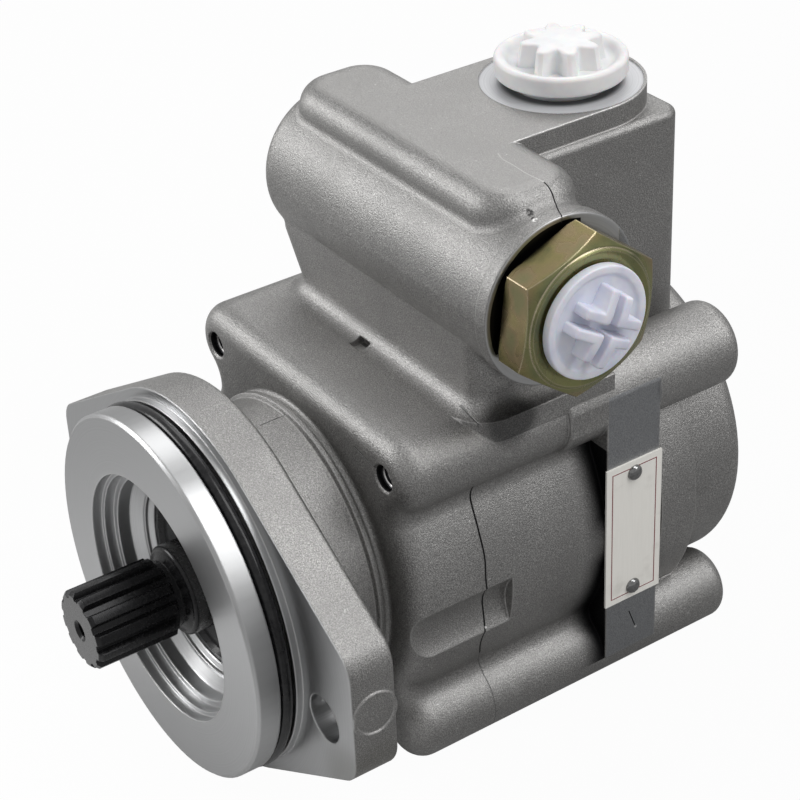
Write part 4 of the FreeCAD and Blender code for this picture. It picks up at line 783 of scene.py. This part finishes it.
# %% Outlet fitting
HEXAGON_CORNER = 21.94
CHAMFER_PROFILE = [(0, 56.3), (20.9, 56.3), (22.4, 57.2), (22.4, 64.4), (18.5, 66.3), (0, 66.3)]
FITTING_PROFILE = [
    (5.0, 30.05), (8.8, 30.05), (8.8, 37.3), (13.2, 37.3), (14.15, 38.3), (14.15, 55.85),
    (17.2, 55.85), (17.2, 60.0), (18.2, 60.0), (18.2, 66.5), (17.5, 66.9), (15.8, 66.6),
    (13.4, 65.6), (12.4, 65.4), (12.4, 63.8), (9.1, 63.8), (8.3, 63.0), (8.3, 52.3),
    (5.0, 52.3), (5.0, 30.05)]

clear()
bpy.ops.mesh.primitive_cylinder_add(
    vertices=6, radius=HEXAGON_CORNER * MM, depth=10 * MM, location=(0, 0, 61.3 * MM))
hexagon = bpy.context.object
freeze()
combine(hexagon, turned_piece(CHAMFER_PROFILE), "INTERSECT")
soften(hexagon, 0.22, 2, 25)
combine(hexagon, turned_piece(FITTING_PROFILE))
settle(hexagon, (0, VALVE_Y, VALVE_Z), [("Y", 90), ("X", 22.5)])
finish_piece(hexagon, "outlet_fitting_turned", "yellow_zinc", stands_for=["outlet_fitting"],
             smooth=14)

# %% [markdown]
# ## Outlet plug
# A shipping plug closes the outlet: a waxy disc with a raised rim, and four
# L-shaped ribs with their corners to the middle, which leave a cross-shaped slot
# for a key. A cylinder is inset and dished for the disc, one rib is extruded
# from a cube both ways and turned four times, and all are joined as one solid.

# %% Outlet plug's disc
OUTLET_PLUG_X = 66.6

clear()
bpy.ops.mesh.primitive_cylinder_add(
    vertices=96, radius=14.8 * MM, depth=2.6 * MM, location=(0, 0, 1.3 * MM))
outlet_plug = bpy.context.object
freeze()
choose(outlet_plug, lambda face: face.normal.z > 0.9)
inset(2.0)
inset(0.7, -0.7)
choose(outlet_plug, lambda face: face.normal.z < -0.9)
inset(3.2)
push(0, 0, -2.0)
inset(3.6)
push(0, 0, -9.6)
soften(outlet_plug, 0.45, 4)
print("disc", len(outlet_plug.data.polygons), "faces")


# %% Outlet plug's ribs
def l_shaped_rib():
    """A corner block with one leg along X and one along Y, lower at both ends."""
    clear()
    bpy.ops.mesh.primitive_cube_add(
        size=MM, location=(2.55 * MM, 2.55 * MM, 4.4 * MM), scale=(2.7, 2.7, 6.4))
    made = bpy.context.object
    freeze()
    choose(made, lambda face: face.normal.x > 0.9)
    push(5.9, 0, 0)
    choose(made, lambda face: face.normal.y > 0.9 and face.center.x < 3.9 * MM)
    push(0, 5.0, 0)
    choose(made, lambda point: max(point.co.xy) > 8 * MM and point.co.z > 7 * MM, "VERT")
    bpy.ops.transform.translate(value=(0, 0, -0.9 * MM))
    soften(made, 0.7, 4)
    return made


for quarter in range(4):
    rib = l_shaped_rib()
    settle(rib, turns=[("Z", 90 * quarter)])
    combine(outlet_plug, rib)
settle(outlet_plug, (OUTLET_PLUG_X, VALVE_Y, VALVE_Z), [("Y", 90), ("X", 60.4)])
finish_piece(outlet_plug, "outlet_plug_moulding", "cap_plastic", stands_for=["outlet_cap"])

# %% [markdown]
# ## Inlet plug
# The larger plug on top has the same dished disc, but a thicker one, and a star
# grip of eight lobes. The star is a cylinder of 64 sides whose vertices are
# moved in or out by their place between two lobes, and the lobes flare a little
# at the foot.

# %% Inlet plug's disc
INLET_PLUG_Z = 110

clear()
bpy.ops.mesh.primitive_cylinder_add(
    vertices=112, radius=17.6 * MM, depth=5.4 * MM, location=(0, 0, 2.7 * MM))
inlet_plug = bpy.context.object
choose(inlet_plug, lambda face: face.normal.z > 0.9)
inset(2.4)
inset(1.6, -2.5)
choose(inlet_plug, lambda face: face.normal.z < -0.9)
inset(5.5)
push(0, 0, -18.3)
soften(inlet_plug, 1.1, 5)
print("disc", len(inlet_plug.data.polygons), "faces")

# %% Inlet plug's star grip
STAR_RADIUS = 8
STAR_REACH = ((0, 10.8), (5.625, 10.5), (11.25, 9.3), (16.875, 7.7), (22.5, 7.1))
FOOT_FLARE = 1.12

clear()
bpy.ops.mesh.primitive_cylinder_add(
    vertices=64, radius=STAR_RADIUS * MM, depth=7.2 * MM, location=(0, 0, 5.7 * MM))
star = bpy.context.object
freeze()


def lobe_phase(point):
    """Degrees from the nearest lobe's middle, 0 to 22.5."""
    degrees = math.degrees(math.atan2(point.co.y, point.co.x)) % 45
    return min(degrees, 45 - degrees)


for phase, reach in STAR_REACH:
    choose(star, lambda point: abs(lobe_phase(point) - phase) < 1, "VERT")
    bpy.ops.transform.resize(value=(reach / STAR_RADIUS, reach / STAR_RADIUS, 1))
choose(star, lambda point: point.co.z < 3 * MM, "VERT")
bpy.ops.transform.resize(value=(FOOT_FLARE, FOOT_FLARE, 1))
soften(star, 0.6, 4, 50)
combine(inlet_plug, star)
settle(inlet_plug, (0, PORT_Y, INLET_PLUG_Z), [("Z", 21.5)])
finish_piece(inlet_plug, "inlet_plug_moulding", "plug_plastic", stands_for=["inlet_plug"])

# %% [markdown]
# ## Nameplate
# The plate is thin sheet with nothing on it but a dark red border line. Two
# insets on its face give the line its own ring of faces, which is raised by a
# few hundredths of a millimetre, as printed enamel is.

# %% Nameplate
BORDER_AWAY, BORDER_WIDTH = 1.8, 0.32

plate_low, plate_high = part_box("nameplate")
plate_middle = (plate_low + plate_high) / 2
plate_size = plate_high - plate_low
clear()
bpy.ops.mesh.primitive_cube_add(size=1, location=plate_middle, scale=plate_size)
plate = bpy.context.object
freeze()
choose(plate, lambda face: face.normal.x > 0.9)
inset(BORDER_AWAY)
inset(BORDER_WIDTH)


def on_border(face):
    """True for the four faces between the two insets."""
    from_side = plate_size.y / 2 - abs(face.center.y - plate_middle.y)
    from_end = plate_size.z / 2 - abs(face.center.z - plate_middle.z)
    nearest = min(abs(gap - BORDER_AWAY * MM) for gap in (from_side, from_end))
    return face.normal.x > 0.9 and nearest < 0.4 * MM


choose(plate, on_border)
push(0.03, 0, 0)
plate.data.materials.append(finishes["plate_metal"])
plate.data.materials.append(border.material)
bpy.context.object.active_material_index = 1
bpy.ops.object.material_slot_assign()
finish_piece(plate, "nameplate_sheet", "plate_metal", stands_for=["nameplate"])

# %% [markdown]
# ## Rivets
# Two steel drive screws with domed heads hold the plate. A sphere is flattened
# and cut at the plate's face, its cut face is extruded to make the shank, and
# the second screw is a copy with its own mesh.

# %% Rivets
RIVET_X, RIVET_Z = 52.6, 18.7

clear()
bpy.ops.mesh.primitive_uv_sphere_add(segments=40, ring_count=20, radius=2.3 * MM)
rivet = bpy.context.object
rivet.rotation_euler.y = math.radians(90)
rivet.scale = (1, 1, 0.64)
freeze()
choose(rivet, lambda face: True)
bpy.ops.mesh.bisect(
    plane_co=(0.05 * MM, 0, 0), plane_no=(1, 0, 0), use_fill=True, clear_inner=True)
choose(rivet, lambda face: face.normal.x < -0.9)
inset(1.1)
push(-5.0, 0, 0)
select(rivet)
bpy.ops.object.duplicate()
rivet_pair = [rivet, bpy.context.object]
for head, side in zip(rivet_pair, (-1, 1)):
    settle(head, (RIVET_X, plate_middle.y / MM, RIVET_Z * side))
select(*rivet_pair)
bpy.ops.object.join()
finish_piece(rivet, "nameplate_rivets", "screw_steel", stands_for=["nameplate_screws"])

# %% [markdown]
# ## Threads in the bracket holes
# The two tapped holes on the shoulders show their threads. The CAD bore has the
# thread's outer size, so each thread is a sleeve inside it whose every second
# ring of vertices is drawn in to make a crest.

# %% Threads
THREAD_LENGTH, THREAD_RINGS = 15, 24


def thread_sleeve(side):
    """The thread of one hole, as a thin wall with crests."""
    middle = (TAP_X * side * MM, TAP_Y * MM, TAP_Z * MM)
    clear()
    bpy.ops.mesh.primitive_cylinder_add(
        vertices=40, radius=3.38 * MM, depth=THREAD_LENGTH * MM, end_fill_type="NOTHING",
        location=middle, rotation=(math.radians(90), 0, 0))
    made = bpy.context.object
    freeze()

    def ring_of(point):
        start = TAP_Y - THREAD_LENGTH / 2
        return round((point.co.y / MM - start) * THREAD_RINGS / THREAD_LENGTH)

    def runs_along(edge):
        first, second = (made.data.vertices[index].co.y for index in edge.vertices)
        return abs(first - second) > 10 * MM

    choose(made, runs_along, "EDGE")
    bpy.ops.mesh.subdivide(number_cuts=THREAD_RINGS - 1, quadcorner="INNERVERT")
    choose(made, lambda point: ring_of(point) % 2 == 1, "VERT")
    bpy.ops.transform.resize(value=(0.85, 1, 0.85), center_override=middle)
    bpy.ops.mesh.select_all(action="SELECT")
    bpy.ops.mesh.flip_normals()
    select(made)
    wall = made.modifiers.new("wall", "SOLIDIFY")
    wall.thickness = 0.25 * MM
    wall.offset = -1
    bpy.ops.object.modifier_apply(modifier=wall.name)
    return made


threads = [thread_sleeve(side) for side in (-1, 1)]
select(*threads)
bpy.ops.object.join()
print("threads of", THREAD_RINGS // 2, "crests")

# %% [markdown]
# ## Tapped aluminium
# The crests of the thread are painted bright as a highlight and its roots painted
# dark as shade, and small chips break the painted highlight up.

# %% Finish of the threads
tapped = Finish("tapped_aluminium", Metallic=1.0)
across, _, up = tapped.axes()
tapped_radius = tapped.from_axis(tapped.math("ABSOLUTE", across), up, (TAP_X * MM, TAP_Z * MM))
chips = tapped.noise(0.0006)
# Painted light: bright crests, with the rest of the thread painted dark as shade.
crest_highlight = tapped.times(
    tapped.between(tapped_radius, 0.0032, 0.0029), tapped.between(chips, 0.3, 0.5, 0.6, 1.0))
tapped.set("Base Color", tapped.mix(crest_highlight, (0.02, 0.02, 0.022), (0.80, 0.79, 0.78)))
tapped.set("Roughness", tapped.ramp(chips, (0.3, 0.25), (0.7, 0.4)))
threads[0].data.materials.append(tapped.material)
finish_piece(threads[0], "bracket_hole_threads", "cast_aluminium")

# %% [markdown]
# ## Studio
# The pump stands on a pale floor in front of nothing. The world is white to the
# camera, and dimmer in reflections and as a light, so that the shape comes from
# the soft lamps.

# %% World
WORLD_LIGHT = 0.62

world = bpy.data.worlds.new("studio")
bpy.context.scene.world = world
world.use_nodes = True
sky = world.node_tree
background = sky.nodes["Background"]
background.inputs["Color"].default_value = (1, 1, 1, 1)
path = sky.nodes.new("ShaderNodeLightPath")
last = None
for ray, strength in (
        ("Is Glossy Ray", 0.52), ("Is Transmission Ray", 1.0), ("Is Camera Ray", 1.0)):
    choice = sky.nodes.new("ShaderNodeMix")
    sky.links.new(path.outputs[ray], choice.inputs["Factor"])
    choice.inputs["A"].default_value = WORLD_LIGHT
    if last:
        sky.links.new(last.outputs["Result"], choice.inputs["A"])
    choice.inputs["B"].default_value = strength
    last = choice
sky.links.new(last.outputs["Result"], background.inputs["Strength"])
print("world light", WORLD_LIGHT)

# %% [markdown]
# ## Floor
# The floor is nearly white to the camera and keeps a faint shadow. What it
# gives back as light changes with the place: it gets darker to the right, as in
# the photograph, and is lifted near the pilot, so that the front's underside is
# lit from below.

# %% Floor
floor_level = cad_box[0][2]
bpy.ops.mesh.primitive_plane_add(size=6, location=(0, 0, floor_level))
floor = bpy.context.object
floor.name = "floor"

paint = Finish("floor_paint", Roughness=0.9, Specular_IOR_Level=0.0)
to_right = paint.vectors("DOT_PRODUCT", paint.place, (0.8, 0.6, 0))
from_pilot = paint.vectors("DISTANCE", paint.place, (-0.02, -0.05, 0))
fade = paint.between(to_right, 0.02, 0.10, 0.42, 0.26, kind="LINEAR")
lift = paint.between(from_pilot, 0.03, 0.14, 0.36, 0.0, kind="LINEAR")
paint.set("Base Color", paint.math("ADD", fade, lift))

rays = paint.node("LightPath").outputs
glow_share = 0.0
for ray, share in (
        ("Is Camera Ray", 0.97), ("Is Glossy Ray", 0.04), ("Is Transmission Ray", 0.04)):
    glow_share = paint.math("MULTIPLY_ADD", rays[ray], share, glow_share)
glow = paint.node("Emission", {"Strength": 1.0})
blend = paint.node("MixShader", {
    "Fac": glow_share, 1: paint.shader.outputs[0], 2: glow.outputs[0]})
paint.feed(paint.tree.nodes["Material Output"].inputs["Surface"], blend.outputs[0])
floor.data.materials.append(paint.material)
print("floor at", round(floor_level, 4), "m")

# %% [markdown]
# ## Lamps
# Four soft boxes light the pump. The back one draws the long highlight on the
# valve barrel, the top one lights the deck and the plugs, the front one lights
# the pilot and the flange, and the side one opens the shadows by the nameplate.

# %% Lamps
AIM = Vector((0, 0.06, 0.04))


def lamp(name, place, size, power):
    """A rectangular soft box that is turned to the middle of the pump."""
    bpy.ops.object.light_add(type="AREA", location=place)
    made = bpy.context.object
    made.name = name
    made.data.shape = "RECTANGLE"
    made.data.size, made.data.size_y = size
    made.data.energy = power
    made.rotation_euler = (AIM - Vector(place)).to_track_quat("-Z", "Y").to_euler()


lamp("back_softbox", (-0.65, 0.60, 0.95), (0.8, 0.6), 3.0)
lamp("top_softbox", (0.32, 0.32, 0.95), (0.5, 0.5), 2.8)
lamp("front_softbox", (-0.75, -0.60, 0.44), (0.5, 0.4), 4.0)
lamp("side_softbox", (0.62, 0.55, 0.62), (0.4, 0.4), 1.8)
print(len(bpy.data.lights), "lamps")

# %% [markdown]
# ## Colours
# The Standard view keeps white as white.

# %% Colour management
bpy.context.scene.view_settings.view_transform = "Standard"
